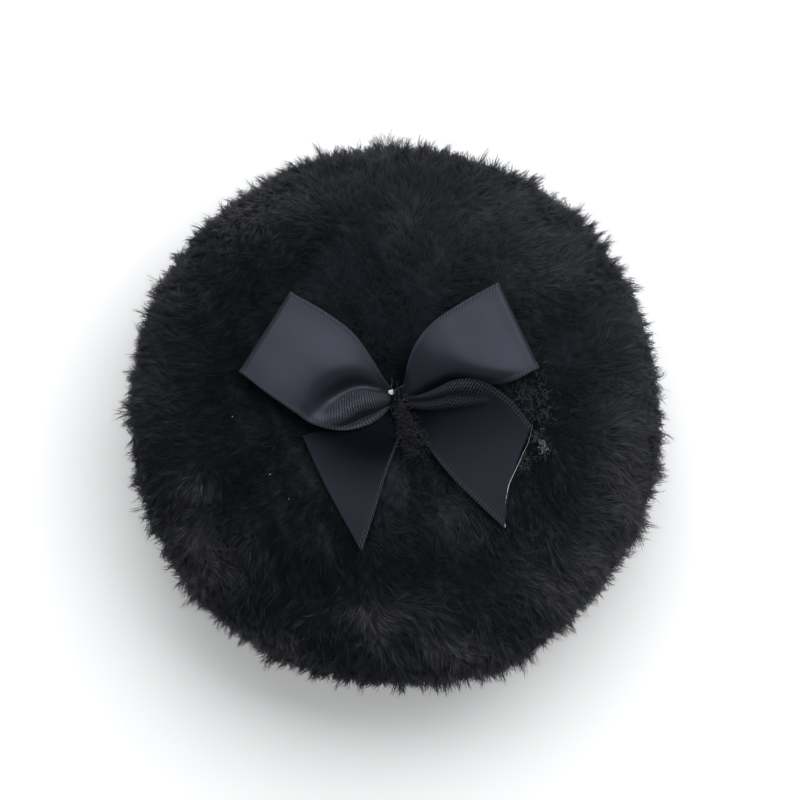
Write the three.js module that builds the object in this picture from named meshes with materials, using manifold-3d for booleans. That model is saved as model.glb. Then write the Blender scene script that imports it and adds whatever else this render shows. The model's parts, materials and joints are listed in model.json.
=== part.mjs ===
// A round plush powder puff, with a satin ribbon bow sewn into the tuft on its top.
// Lengths are millimetres and +Z is up. The origin is the middle of the face that the puff rests on.
import * as THREE from 'three';
import { mergeVertices } from 'three/addons/utils/BufferGeometryUtils.js';
import Module from 'manifold-3d';

const wasm = await Module();
wasm.setup();

// The puff, measured over its pile
const PUFF_DIAMETER = 90;
const PUFF_THICKNESS = 30;
const FOOT_DIAMETER = 60;
const SEAM_HEIGHT = 14.5;
const SIDE_DRAW_IN = 1.6;
const BULGE_OFFSET = 4.5; // from the seam to where a panel is widest
const CROWN_FULLNESS = 2.6; // exponent of the crown's outline, 2 for an ellipse

// The plush fabric and the stitches that join it
const PILE_LENGTH = 8;
const BACKING_THICKNESS = 1;
const SEAM_ALLOWANCE = 4;
const SEAM_THREAD = 0.5;
const RIM_STITCHES = 24;
const CLOSING_STITCHES = 5;
const CLEARANCE = 0.3; // between pieces that lie against each other

// The tuft that the bow is sewn into
const TUFT_X = 0.3;
const TUFT_Y = 3.2;
const TUFT_DEPTH = 6;
const TUFT_RADIUS = 9;

// The bow
const BOW_SPAN = 50;
const BOW_RISE = 7; // from the middle of the gather to the top of the loops
const RIBBON_THICKNESS = 0.4;
const FOLD_RADIUS = 1.6; // of the turned ends of the loops
const LOOP_ROOT = 2.5; // from the middle of the gather to the line where a loop flexes
const TAIL_ROOT = 2.7; // the same for the right tail
const CREASE_OFFSET = 6.4; // the same for the left tail, which flexes just outside the left loop
const LEFT_LOOP_DEGREES = 154.5;
const RIGHT_LOOP_DEGREES = 29;
const RIGHT_TAIL_DEGREES = -40;
const LEFT_TAIL_DEGREES = -90;

// The cinched middle of the ribbon
const GATHER_WIDTH = 3;
const GATHER_HEIGHT = 2.2;
const GATHER_FLARE = 1.4; // how much wider it is at its ends
const GATHER_REACH = 4; // from its middle to its ends, before they are cut to the roots
const PLEATS = 7;

// The threads of the bow
const TIE_THREAD = 0.35;
const TIE_TURNS = 3;
const TIE_PITCH = 0.8;
const TIE_KNOT = 0.9;
const TIE_END_REACH = 2.5;
const ANCHOR_THREAD = 0.4;
const ANCHOR_SHANK = 0.6;
const ANCHOR_KNOT = 1.8;

// Fineness of the meshes
const ROUND_SEGMENTS = 36;
const THREAD_SIDES = 6;
const HIDDEN_THREAD_SIDES = 4;
const SHANK_SEGMENTS = 10;
const LOOP_STEPS = 24;
const UPPER_ROWS = 10;
const LOWER_ROWS = 5;
const FOLD_ROWS = 4;
const TAIL_ROWS = 10;
const RIBBON_COLUMNS = 9;
const STUB_ROWS = 6;
const GATHER_STATIONS = 8;
const KNOT_END_STEPS = 6;

const PLUSH = new THREE.MeshStandardMaterial({ color: 0x26272b, roughness: 0.95, metalness: 0 });
const PAD = new THREE.MeshStandardMaterial({ color: 0xe8e6e0, roughness: 0.9, metalness: 0 });
const SATIN = new THREE.MeshStandardMaterial({ color: 0x383b42, roughness: 0.42, metalness: 0 });
const BLACK_THREAD = new THREE.MeshStandardMaterial({ color: 0x2b2c30, roughness: 0.8, metalness: 0 });
const PALE_THREAD = new THREE.MeshStandardMaterial({ color: 0xc9cdd2, roughness: 0.6, metalness: 0 });

// Sizes that follow from those above
const PUFF_RADIUS = PUFF_DIAMETER / 2;
const FOOT_RADIUS = FOOT_DIAMETER / 2;
const FABRIC = PILE_LENGTH + BACKING_THICKNESS;
const TOP_DEPTH = PUFF_THICKNESS - SEAM_HEIGHT - CLEARANCE / 2; // of the top panel above its seam face
const BOTTOM_DEPTH = SEAM_HEIGHT - CLEARANCE / 2;
const TOP_SEAM_Z = SEAM_HEIGHT + CLEARANCE / 2;
const BOTTOM_SEAM_Z = SEAM_HEIGHT - CLEARANCE / 2;
const CAVITY_RADIUS = PUFF_RADIUS - FABRIC;
const SEAM_RADIUS = PUFF_RADIUS - SIDE_DRAW_IN;
const ALLOWANCE_OUTER = SEAM_RADIUS - FABRIC;
const ALLOWANCE_INNER = ALLOWANCE_OUTER - SEAM_ALLOWANCE;
const STITCH_RADIUS = ALLOWANCE_OUTER - SEAM_ALLOWANCE / 2;
const STITCH_RISE = CLEARANCE / 2 + BACKING_THICKNESS + CLEARANCE + SEAM_THREAD / 2;
const SHANK_HOLE_RADIUS = ANCHOR_SHANK / 2 + CLEARANCE;
const WINDING_REACH = (TIE_TURNS * TIE_PITCH) / 2 + TIE_THREAD;

function degrees(angle) {
  return THREE.MathUtils.degToRad(angle);
}

function gatherWidthAt(x) {
  return GATHER_WIDTH + GATHER_FLARE * (x / GATHER_REACH) ** 2;
}

// The pleats stand out of the gather by this share of its half width.
const PLEAT_SHARE = 0.08;
const TIE_HALF_WIDTH =
  (gatherWidthAt(WINDING_REACH) / 2) * (1 + PLEAT_SHARE) + CLEARANCE + TIE_THREAD / 2;
const TIE_HALF_HEIGHT = (GATHER_HEIGHT / 2) * (1 + PLEAT_SHARE) + CLEARANCE + TIE_THREAD / 2;
const ANCHOR_STEP = TIE_THREAD / 2 + CLEARANCE + ANCHOR_THREAD / 2;
const ANCHOR_HALF_WIDTH = TIE_HALF_WIDTH + ANCHOR_STEP;
const ANCHOR_HALF_HEIGHT = TIE_HALF_HEIGHT + ANCHOR_STEP;
const KNOT_Z = PUFF_THICKNESS - TUFT_DEPTH + CLEARANCE + ANCHOR_HALF_HEIGHT + ANCHOR_THREAD / 2;

// Solids and meshes

function solidOf(geometry) {
  const bare = geometry.clone();
  bare.deleteAttribute('normal');
  bare.deleteAttribute('uv');
  const merged = mergeVertices(bare);
  return new wasm.Manifold(
    new wasm.Mesh({
      numProp: 3,
      vertProperties: merged.attributes.position.array,
      triVerts: new Uint32Array(merged.index.array),
    }),
  );
}

function geometryOf(solid) {
  const { vertProperties, triVerts } = solid.getMesh();
  const geometry = new THREE.BufferGeometry();
  geometry.setAttribute('position', new THREE.BufferAttribute(vertProperties, 3));
  geometry.setIndex(new THREE.BufferAttribute(triVerts, 1));
  return geometry;
}

function named(name, geometry, material) {
  const flat = geometry.index ? geometry.toNonIndexed() : geometry;
  flat.computeVertexNormals();
  const mesh = new THREE.Mesh(flat, material);
  mesh.name = name;
  return mesh;
}

function joined(solids) {
  return solids.reduce((whole, solid) => whole.add(solid));
}

function without(solid, cutters) {
  return cutters.reduce((left, cutter) => left.subtract(cutter), solid);
}

function polygon(radius, sides) {
  const corners = Array.from({ length: sides }, (_, i) => {
    const angle = (2 * Math.PI * i) / sides;
    return new THREE.Vector2(radius * Math.cos(angle), radius * Math.sin(angle));
  });
  return new THREE.Shape(corners);
}

function tube(curve, diameter, steps, sides) {
  return new THREE.ExtrudeGeometry(polygon(diameter / 2, sides), {
    extrudePath: curve,
    steps,
    bevelEnabled: false,
  });
}

function uprightRod(diameter, low, high, sides) {
  const rod = new THREE.CylinderGeometry(diameter / 2, diameter / 2, high - low, sides);
  rod.rotateX(Math.PI / 2);
  return rod.translate(0, 0, (low + high) / 2);
}

// A smooth value through evenly spaced shares.
function through(shares, share) {
  const points = shares.map((value, i) => new THREE.Vector3(i / (shares.length - 1), value, 0));
  return new THREE.CatmullRomCurve3(points).getPoint(share).y;
}

// The puff: panels and pad turned about the middle, with the tuft drawn to where the bow sits

const CROWN_ANGLE_SHARES = [0, 0.16, 0.32, 0.48, 0.62, 0.75, 0.86, 0.94];
const CAVITY_ANGLE_SHARES = [0, 0.25, 0.5, 0.7, 0.85];
const FOOT_ANGLE_SHARES = [0, 0.2, 0.4, 0.6, 0.8, 1];
const DRAW_SHARES = [0, 0.35, 0.7];
const TUFT_RING_SHARES = [0.75, 0.4];
const SHIFT_START_SHARE = 0.22;
const SHIFT_END_SHARE = 0.62;

function tuftDepthAt(distance) {
  return TUFT_DEPTH * Math.exp(-((distance / TUFT_RADIUS) ** 2));
}

// A point of a quarter outline, from its side (angle share 0) to its crown (angle share 1).
function quarter(sideRadius, innerRadius, sideHeight, crownHeight, fullness, share) {
  const angle = (share * Math.PI) / 2;
  const out = Math.cos(angle) ** (2 / fullness);
  const up = Math.sin(angle) ** (2 / fullness);
  return new THREE.Vector2(
    innerRadius + (sideRadius - innerRadius) * out,
    sideHeight + (crownHeight - sideHeight) * up,
  );
}

function crownPoints(sideRadius, sideHeight, crownHeight, shares, holeRadius) {
  const rims = shares.map((share) =>
    quarter(sideRadius, 0, sideHeight, crownHeight, CROWN_FULLNESS, share),
  );
  const rings = TUFT_RING_SHARES.map(
    (share) => new THREE.Vector2(share * TUFT_RADIUS, crownHeight),
  );
  const edge = new THREE.Vector2(holeRadius, crownHeight);
  return [...rims.filter((point) => point.x > TUFT_RADIUS), ...rings, edge].map(
    (point) => new THREE.Vector2(point.x, point.y - tuftDepthAt(point.x)),
  );
}

function footPoints(sideRadius, footRadius, sideHeight, footDepth, shares) {
  return shares.map((share) => quarter(sideRadius, footRadius, sideHeight, footDepth, 2, share));
}

function drawnSide(radius, bulge) {
  return DRAW_SHARES.map(
    (share) => new THREE.Vector2(radius - SIDE_DRAW_IN * (1 - share) ** 2, share * bulge),
  );
}

function allowanceFace() {
  return [
    new THREE.Vector2(ALLOWANCE_OUTER, BACKING_THICKNESS),
    new THREE.Vector2(ALLOWANCE_INNER, BACKING_THICKNESS),
    new THREE.Vector2(ALLOWANCE_INNER, 0),
  ];
}

function shiftedToTuft(geometry) {
  const places = geometry.attributes.position;
  for (let i = 0; i < places.count; i += 1) {
    const radius = Math.hypot(places.getX(i), places.getY(i));
    const share = radius / PUFF_RADIUS;
    const pull = 1 - THREE.MathUtils.smoothstep(share, SHIFT_START_SHARE, SHIFT_END_SHARE);
    places.setX(i, places.getX(i) + pull * TUFT_X);
    places.setY(i, places.getY(i) + pull * TUFT_Y);
  }
  return geometry;
}

function turned(points) {
  const lathe = new THREE.LatheGeometry(points, ROUND_SEGMENTS);
  return lathe.rotateX(Math.PI / 2);
}

function stitchAngle(index) {
  const pitch = (2 * Math.PI) / (RIM_STITCHES + CLOSING_STITCHES);
  return (index - (CLOSING_STITCHES - 1) / 2) * pitch - Math.PI / 2;
}

function stitchHoles() {
  const radius = SEAM_THREAD / 2 + CLEARANCE / Math.cos(Math.PI / HIDDEN_THREAD_SIDES);
  return Array.from({ length: RIM_STITCHES + CLOSING_STITCHES }, (_, i) => {
    const rod = uprightRod(
      2 * radius,
      SEAM_HEIGHT - STITCH_RISE - CLEARANCE,
      SEAM_HEIGHT + STITCH_RISE + CLEARANCE,
      HIDDEN_THREAD_SIDES,
    );
    const angle = stitchAngle(i);
    return solidOf(rod.translate(STITCH_RADIUS * Math.cos(angle), STITCH_RADIUS * Math.sin(angle), 0));
  });
}

function topPanel() {
  const outside = [
    ...drawnSide(PUFF_RADIUS, BULGE_OFFSET),
    ...crownPoints(PUFF_RADIUS, BULGE_OFFSET, TOP_DEPTH, CROWN_ANGLE_SHARES, SHANK_HOLE_RADIUS),
  ];
  const innerDepth = TOP_DEPTH - FABRIC;
  const innerBulge = (BULGE_OFFSET * innerDepth) / TOP_DEPTH;
  const inside = [
    ...allowanceFace().reverse(),
    ...crownPoints(CAVITY_RADIUS, innerBulge, innerDepth, CAVITY_ANGLE_SHARES, SHANK_HOLE_RADIUS),
  ];
  const profile = [...outside, ...inside.reverse(), outside[0]];
  const shell = shiftedToTuft(turned(profile)).translate(0, 0, TOP_SEAM_Z);
  return geometryOf(without(solidOf(shell), stitchHoles()));
}

function bottomPanel() {
  const innerDepth = BOTTOM_DEPTH - FABRIC;
  const innerBulge = (BULGE_OFFSET * innerDepth) / BOTTOM_DEPTH;
  const foot = footPoints(PUFF_RADIUS, FOOT_RADIUS, BULGE_OFFSET, BOTTOM_DEPTH, FOOT_ANGLE_SHARES);
  const cavity = footPoints(
    CAVITY_RADIUS,
    FOOT_RADIUS,
    innerBulge,
    innerDepth,
    CAVITY_ANGLE_SHARES,
  );
  const profile = [
    new THREE.Vector2(0, innerDepth),
    ...cavity.reverse(),
    ...allowanceFace(),
    ...drawnSide(PUFF_RADIUS, BULGE_OFFSET),
    ...foot,
    new THREE.Vector2(0, BOTTOM_DEPTH),
  ];
  const shell = turned(profile).rotateX(Math.PI).translate(0, 0, BOTTOM_SEAM_Z);
  return geometryOf(without(solidOf(shell), stitchHoles()));
}

function fillingPad() {
  const radius = CAVITY_RADIUS - 3 * CLEARANCE;
  const groove = STITCH_RISE + SEAM_THREAD / 2 + CLEARANCE;
  const grooveRadius = ALLOWANCE_INNER - CLEARANCE;
  const height = PUFF_THICKNESS - SEAM_HEIGHT - FABRIC - CLEARANCE;
  const depth = SEAM_HEIGHT - FABRIC - CLEARANCE;
  const crown = crownPoints(radius, groove, height, CAVITY_ANGLE_SHARES, 0);
  const foot = footPoints(radius, FOOT_RADIUS - CLEARANCE, groove, depth, FOOT_ANGLE_SHARES);
  const profile = [
    new THREE.Vector2(0, -depth),
    ...foot.reverse().map((point) => new THREE.Vector2(point.x, -point.y)),
    new THREE.Vector2(grooveRadius, -groove),
    new THREE.Vector2(grooveRadius, groove),
    ...crown,
  ];
  const pad = solidOf(shiftedToTuft(turned(profile)).translate(0, 0, SEAM_HEIGHT));
  const pocket = uprightRod(
    ANCHOR_KNOT + 2 * CLEARANCE,
    anchorKnotZ() - ANCHOR_KNOT / 2 - CLEARANCE,
    PUFF_THICKNESS,
    2 * THREAD_SIDES,
  );
  return geometryOf(pad.subtract(solidOf(pocket.translate(TUFT_X, TUFT_Y, 0))));
}

// Seam threads: a run above the allowance, a run below it, and a leg through every hole

class Arc extends THREE.Curve {
  constructor(radius, height, start, end) {
    super();
    Object.assign(this, { radius, height, start, end });
  }

  getPoint(share, target = new THREE.Vector3()) {
    const angle = THREE.MathUtils.lerp(this.start, this.end, share);
    return target.set(this.radius * Math.cos(angle), this.radius * Math.sin(angle), this.height);
  }
}

function stitches(first, count) {
  const start = stitchAngle(first);
  const end = stitchAngle(first + count - 1);
  const runs = [-STITCH_RISE, STITCH_RISE].map((rise) =>
    solidOf(
      tube(
        new Arc(STITCH_RADIUS, SEAM_HEIGHT + rise, start, end),
        SEAM_THREAD,
        count - 1,
        HIDDEN_THREAD_SIDES,
      ),
    ),
  );
  const legs = Array.from({ length: count }, (_, i) => {
    const angle = stitchAngle(first + i);
    const leg = uprightRod(
      SEAM_THREAD,
      SEAM_HEIGHT - STITCH_RISE,
      SEAM_HEIGHT + STITCH_RISE,
      HIDDEN_THREAD_SIDES,
    );
    return solidOf(leg.translate(STITCH_RADIUS * Math.cos(angle), STITCH_RADIUS * Math.sin(angle), 0));
  });
  return geometryOf(joined([...runs, ...legs]));
}

// The ribbon: leaves that run from a root line beside the gather to a fold or a cut end.
// Their plan points are shares of the bow's span and their heights are shares of its rise,
// both from the middle of the gather. Selvedges are given as [upper, lower] in the plan view.

const LEFT_LOOP = {
  angle: degrees(LEFT_LOOP_DEGREES),
  root: LOOP_ROOT,
  rootShares: [-0.027, 0.074],
  upperShares: [
    [-0.056, 0.088],
    [-0.14, 0.206],
    [-0.244, 0.284],
    [-0.35, 0.346],
  ],
  lowerShares: [
    [-0.106, -0.09],
    [-0.186, -0.118],
    [-0.272, -0.098],
    [-0.34, -0.052],
    [-0.44, 0.018],
    [-0.52, 0.08],
  ],
  heightShares: [
    [0.18, 0.66, 0.88, 0.97, 0.97, 0.94],
    [0.18, 0.6, 0.74, 0.84, 0.94, 0.94],
  ],
  underShares: [
    [0.02, 0.26, 0.42, 0.52, 0.52, 0.48],
    [0.02, 0.44, 0.58, 0.58, 0.54, 0.48],
  ],
  pleats: [
    {
      centreShares: [0.25, 0.27, 0.56, 0.8, 0.9, 1],
      depthShares: [0, -0.2, -0.24, -0.12, 0, 0],
      widthShare: 0.14,
    },
    {
      centreShares: [0.5, 0.52, 0.82, 1.05, 1.2, 1.2],
      depthShares: [0, 0.14, 0.12, 0, 0, 0],
      widthShare: 0.13,
    },
  ],
};

const RIGHT_LOOP = {
  angle: degrees(RIGHT_LOOP_DEGREES),
  root: LOOP_ROOT,
  rootShares: [0.025, -0.022],
  upperShares: [
    [0.034, 0.11],
    [0.06, 0.174],
    [0.116, 0.24],
    [0.226, 0.316],
    [0.334, 0.376],
  ],
  lowerShares: [
    [0.1, 0.046],
    [0.19, 0.082],
    [0.27, 0.084],
    [0.33, 0.07],
    [0.4, 0.062],
    [0.47, 0.096],
  ],
  heightShares: [
    [0.14, 0.56, 0.8, 0.92, 0.97, 0.94],
    [0.14, 0.42, 0.54, 0.66, 0.84, 0.94],
  ],
  underShares: [
    [-0.02, 0.2, 0.38, 0.5, 0.52, 0.48],
    [-0.02, 0.16, 0.32, 0.46, 0.52, 0.48],
  ],
  pleats: [
    {
      centreShares: [0.6, 0.7, 0.78, 0.84, 0.9, 1],
      depthShares: [0, -0.05, -0.08, -0.08, -0.03, 0],
      widthShare: 0.16,
    },
  ],
};

const RIGHT_TAIL = {
  angle: degrees(RIGHT_TAIL_DEGREES),
  root: TAIL_ROOT,
  rootShares: [0.024, -0.018],
  upperShares: [
    [0.11, 0.014],
    [0.194, 0.052],
    [0.276, 0.052],
    [0.31, 0.034],
    [0.376, -0.01],
    [0.446, -0.094],
  ],
  lowerShares: [
    [0.07, -0.116],
    [0.11, -0.176],
    [0.176, -0.26],
    [0.276, -0.36],
    [0.356, -0.434],
  ],
  heightShares: [
    [0.04, 0.34, 0.5, 0.54, 0.52, 0.48],
    [0.04, 0.26, 0.44, 0.5, 0.5, 0.46],
  ],
  pleats: [
    {
      centreShares: [0.1, 0.08, 0.08, 0.06, 0.05, 0],
      depthShares: [0, 0.16, 0.2, 0.14, 0.02, 0],
      widthShare: 0.08,
    },
    {
      centreShares: [0.4, 0.3, 0.27, 0.24, 0.2, 0.2],
      depthShares: [0, 0.1, 0.14, 0.08, 0, 0],
      widthShare: 0.08,
    },
    {
      centreShares: [0.6, 0.5, 0.44, 0.4, 0.4, 0.4],
      depthShares: [0, -0.06, -0.1, -0.05, 0, 0],
      widthShare: 0.12,
    },
  ],
};

// The left tail starts at a crease that slopes up from its inner end to its outer corner.
const CREASE_INNER_SHARE = 0.01;
const CREASE_OUTER_SHARE = -0.312;
const CREASE_HEIGHT_SHARES = [0.16, 0.53];

const LEFT_TAIL = {
  angle: degrees(LEFT_TAIL_DEGREES),
  root: CREASE_OFFSET,
  rootShares: [CREASE_INNER_SHARE, CREASE_OUTER_SHARE],
  upperShares: [
    [-0.008, -0.18],
    [-0.034, -0.25],
    [-0.066, -0.36],
    [-0.104, -0.514],
  ],
  lowerShares: [
    [-0.256, -0.26],
    [-0.176, -0.41],
    [-0.118, -0.508],
  ],
  heightShares: [
    [0.16, 0.38, 0.48, 0.5, 0.46],
    [0.53, 0.53, 0.52, 0.5, 0.46],
  ],
  pleats: [],
};

function planPoint([x, y]) {
  return new THREE.Vector3(x * BOW_SPAN, y * BOW_SPAN, 0);
}

function leafDirection(leaf) {
  return new THREE.Vector3(Math.cos(leaf.angle), Math.sin(leaf.angle), 0);
}

function rootPoint(leaf, side) {
  const offset = leaf.rootShares[side] * BOW_SPAN;
  const out = leafDirection(leaf);
  return new THREE.Vector3(
    out.x * leaf.root - out.y * offset,
    out.y * leaf.root + out.x * offset,
    0,
  );
}

function selvedges(leaf) {
  return [leaf.upperShares, leaf.lowerShares].map(
    (shares, side) =>
      new THREE.CatmullRomCurve3([rootPoint(leaf, side), ...shares.map(planPoint)]),
  );
}

function heightAt(edgeShares, along, across) {
  const [upper, lower] = edgeShares.map((shares) => through(shares, along));
  return BOW_RISE * THREE.MathUtils.lerp(upper, lower, across);
}

function pleatAt(leaf, along, across) {
  return leaf.pleats.reduce((sum, { centreShares, depthShares, widthShare }) => {
    const offset = (across - through(centreShares, along)) / widthShare;
    return sum + BOW_RISE * through(depthShares, along) * Math.exp(-offset * offset);
  }, 0);
}

// A row of points across the leaf, drawn back from its far end by the radius of the fold.
function leafRow(leaf, edges, along, heights, pleated, foldRadius) {
  const [upper, lower] = edges.map((edge) => edge.getPointAt(along));
  const back = leafDirection(leaf).multiplyScalar(-foldRadius * along);
  return Array.from({ length: RIBBON_COLUMNS + 1 }, (_, column) => {
    const across = column / RIBBON_COLUMNS;
    const point = upper.clone().lerp(lower, across).add(back);
    point.z = heightAt(heights, along, across) + (pleated ? pleatAt(leaf, along, across) : 0);
    return point;
  });
}

function foldRow(leaf, topRow, bottomRow, turn) {
  const out = leafDirection(leaf);
  return topRow.map((top, column) => {
    const bottom = bottomRow[column];
    const radius = (top.z - bottom.z) / 2;
    const middle = top.clone().add(bottom).multiplyScalar(1 / 2);
    middle.addScaledVector(out, FOLD_RADIUS * Math.sin(turn));
    middle.z += radius * Math.cos(turn);
    return middle;
  });
}

function loopRows(leaf) {
  const edges = selvedges(leaf);
  const upper = Array.from({ length: UPPER_ROWS + 1 }, (_, i) =>
    leafRow(leaf, edges, i / UPPER_ROWS, leaf.heightShares, true, FOLD_RADIUS),
  );
  const under = Array.from({ length: LOWER_ROWS + 1 }, (_, i) =>
    leafRow(leaf, edges, 1 - i / LOWER_ROWS, leaf.underShares, false, FOLD_RADIUS),
  );
  const fold = Array.from({ length: FOLD_ROWS - 1 }, (_, i) =>
    foldRow(leaf, upper.at(-1), under[0], (Math.PI * (i + 1)) / FOLD_ROWS),
  );
  return [...upper, ...fold, ...under];
}

function tailRows(leaf) {
  const edges = selvedges(leaf);
  return Array.from({ length: TAIL_ROWS + 1 }, (_, i) =>
    leafRow(leaf, edges, i / TAIL_ROWS, leaf.heightShares, true, 0),
  );
}

function rowNormal(rows, row, column) {
  const before = rows[Math.max(row - 1, 0)][column];
  const after = rows[Math.min(row + 1, rows.length - 1)][column];
  const left = rows[row][Math.max(column - 1, 0)];
  const right = rows[row][Math.min(column + 1, rows[row].length - 1)];
  return after.clone().sub(before).cross(right.clone().sub(left)).normalize();
}

// A closed strip of the ribbon's thickness about rows of points.
function ribbonGeometry(rows) {
  const columns = rows[0].length;
  const layerSize = rows.length * columns;
  const places = [];
  for (const side of [1, -1]) {
    rows.forEach((row, i) =>
      row.forEach((point, j) => {
        const lift = rowNormal(rows, i, j).multiplyScalar((side * RIBBON_THICKNESS) / 2);
        places.push(...point.clone().add(lift).toArray());
      }),
    );
  }
  const faces = [];
  const quad = (a, b, c, d) => faces.push(a, b, c, a, c, d);
  for (let i = 0; i < rows.length - 1; i += 1) {
    for (let j = 0; j < columns - 1; j += 1) {
      const corner = i * columns + j;
      quad(corner, corner + columns, corner + columns + 1, corner + 1);
      quad(
        layerSize + corner,
        layerSize + corner + 1,
        layerSize + corner + columns + 1,
        layerSize + corner + columns,
      );
    }
  }
  const rim = [];
  for (let j = 0; j < columns - 1; j += 1) rim.push(j);
  for (let i = 0; i < rows.length - 1; i += 1) rim.push(i * columns + columns - 1);
  for (let j = columns - 1; j > 0; j -= 1) rim.push((rows.length - 1) * columns + j);
  for (let i = rows.length - 1; i > 0; i -= 1) rim.push(i * columns);
  rim.forEach((from, i) => {
    const to = rim[(i + 1) % rim.length];
    quad(from, to, layerSize + to, layerSize + from);
  });
  const geometry = new THREE.BufferGeometry();
  geometry.setAttribute('position', new THREE.Float32BufferAttribute(places, 3));
  geometry.setIndex(faces);
  return geometry;
}

// The cinched middle: a pleated barrel, cut to the roots of the leaves, with the covered stub

function gatherBarrel() {
  const sides = 4 * PLEATS;
  const places = [];
  for (let i = 0; i <= GATHER_STATIONS; i += 1) {
    const x = THREE.MathUtils.lerp(-GATHER_REACH, GATHER_REACH, i / GATHER_STATIONS);
    for (let j = 0; j < sides; j += 1) {
      const angle = (2 * Math.PI * j) / sides;
      const swell = 1 + PLEAT_SHARE * Math.cos(PLEATS * angle);
      const y = (gatherWidthAt(x) / 2) * swell * Math.cos(angle);
      places.push(x, y, (GATHER_HEIGHT / 2) * swell * Math.sin(angle));
    }
  }
  const faces = [];
  for (let i = 0; i < GATHER_STATIONS; i += 1) {
    for (let j = 0; j < sides; j += 1) {
      const next = (j + 1) % sides;
      const [a, b] = [i * sides + j, i * sides + next];
      const [c, d] = [b + sides, a + sides];
      faces.push(a, b, c, a, c, d);
    }
  }
  for (const [end, flip] of [[0, false], [GATHER_STATIONS, true]]) {
    const middle = places.length / 3;
    places.push(places[3 * end * sides], 0, 0);
    for (let j = 0; j < sides; j += 1) {
      const [a, b] = [end * sides + j, end * sides + ((j + 1) % sides)];
      faces.push(...(flip ? [middle, a, b] : [middle, b, a]));
    }
  }
  const geometry = new THREE.BufferGeometry();
  geometry.setAttribute('position', new THREE.Float32BufferAttribute(places, 3));
  geometry.setIndex(faces);
  return geometry;
}

// Everything past a plane that stands across a leaf's direction, just short of the leaf's root.
function pastRoot(leaf) {
  const size = 4 * GATHER_REACH;
  const block = new THREE.BoxGeometry(size, size, size);
  block.translate(leaf.root - CLEARANCE + size / 2, 0, 0);
  return solidOf(block.rotateZ(leaf.angle));
}

const STUB_START_SHARES = [[-0.038, -0.012], [-0.064, -0.012]];
const STUB_MIDDLE_SHARES = [[-0.024, -0.07], [-0.16, -0.056]];
const STUB_START_HEIGHT_SHARE = -0.143;
// The stub stays low at its inner edge and rises early at its outer one.
const STUB_RISE_POWERS = [2, 0.7];

function coveredStub() {
  const edges = STUB_START_SHARES.map((start, side) => {
    const end = rootPoint(LEFT_TAIL, side);
    end.y += CLEARANCE;
    return new THREE.CatmullRomCurve3([planPoint(start), planPoint(STUB_MIDDLE_SHARES[side]), end]);
  });
  const rows = Array.from({ length: STUB_ROWS + 1 }, (_, i) => {
    const along = i / STUB_ROWS;
    const [inner, outer] = edges.map((edge) => edge.getPointAt(along));
    return Array.from({ length: RIBBON_COLUMNS + 1 }, (__, column) => {
      const across = column / RIBBON_COLUMNS;
      const point = inner.clone().lerp(outer, across);
      const crease = THREE.MathUtils.lerp(...CREASE_HEIGHT_SHARES, across);
      const rise = along ** THREE.MathUtils.lerp(...STUB_RISE_POWERS, across);
      point.z = BOW_RISE * THREE.MathUtils.lerp(STUB_START_HEIGHT_SHARE, crease, rise);
      return point;
    });
  });
  return ribbonGeometry(rows);
}

function gather() {
  const cutters = [LEFT_LOOP, RIGHT_LOOP, RIGHT_TAIL].map(pastRoot);
  const barrel = without(solidOf(gatherBarrel()), cutters);
  return geometryOf(barrel.add(solidOf(coveredStub())));
}

// The threads of the bow

// Turns round the gather, each end running straight for one diameter.
class Winding extends THREE.Curve {
  turnPoint(angle, target) {
    const x = (angle / (2 * Math.PI) - TIE_TURNS / 2) * TIE_PITCH;
    return target.set(x, TIE_HALF_WIDTH * Math.sin(angle), -TIE_HALF_HEIGHT * Math.cos(angle));
  }

  turnDirection(angle) {
    const pitch = TIE_PITCH / (2 * Math.PI);
    const y = TIE_HALF_WIDTH * Math.cos(angle);
    const z = TIE_HALF_HEIGHT * Math.sin(angle);
    return new THREE.Vector3(pitch, y, z).normalize();
  }

  getPoint(share, target = new THREE.Vector3()) {
    const last = 2 * Math.PI * TIE_TURNS;
    const edge = 1 / (TIE_TURNS * LOOP_STEPS + 2);
    const angle = THREE.MathUtils.clamp(((share - edge) / (1 - 2 * edge)) * last, 0, last);
    this.turnPoint(angle, target);
    const straight = share < edge ? share / edge - 1 : share > 1 - edge ? (share - 1) / edge + 1 : 0;
    return target.addScaledVector(this.turnDirection(angle), straight * TIE_THREAD);
  }

  // The least gap between turns, measured on points of the middle line.
  leastGap() {
    const count = LOOP_STEPS * TIE_TURNS;
    const points = Array.from({ length: count + 1 }, (_, i) =>
      this.turnPoint((2 * Math.PI * i) / LOOP_STEPS, new THREE.Vector3()),
    );
    let least = Infinity;
    points.forEach((point, i) => {
      for (let j = i + LOOP_STEPS / 2; j < points.length; j += 1) {
        least = Math.min(least, point.distanceTo(points[j]) - TIE_THREAD);
      }
    });
    return least;
  }
}

function tieThread() {
  const winding = new Winding();
  console.log(`least gap of the tie thread to itself: ${winding.leastGap().toFixed(2)} mm`);
  return tube(winding, TIE_THREAD, TIE_TURNS * LOOP_STEPS + 2, THREAD_SIDES);
}

// The knot sits towards the back of the winding, and its two cut ends rise from it.
const KNOT_OFFSET_SHARE = 0.33;

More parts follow.
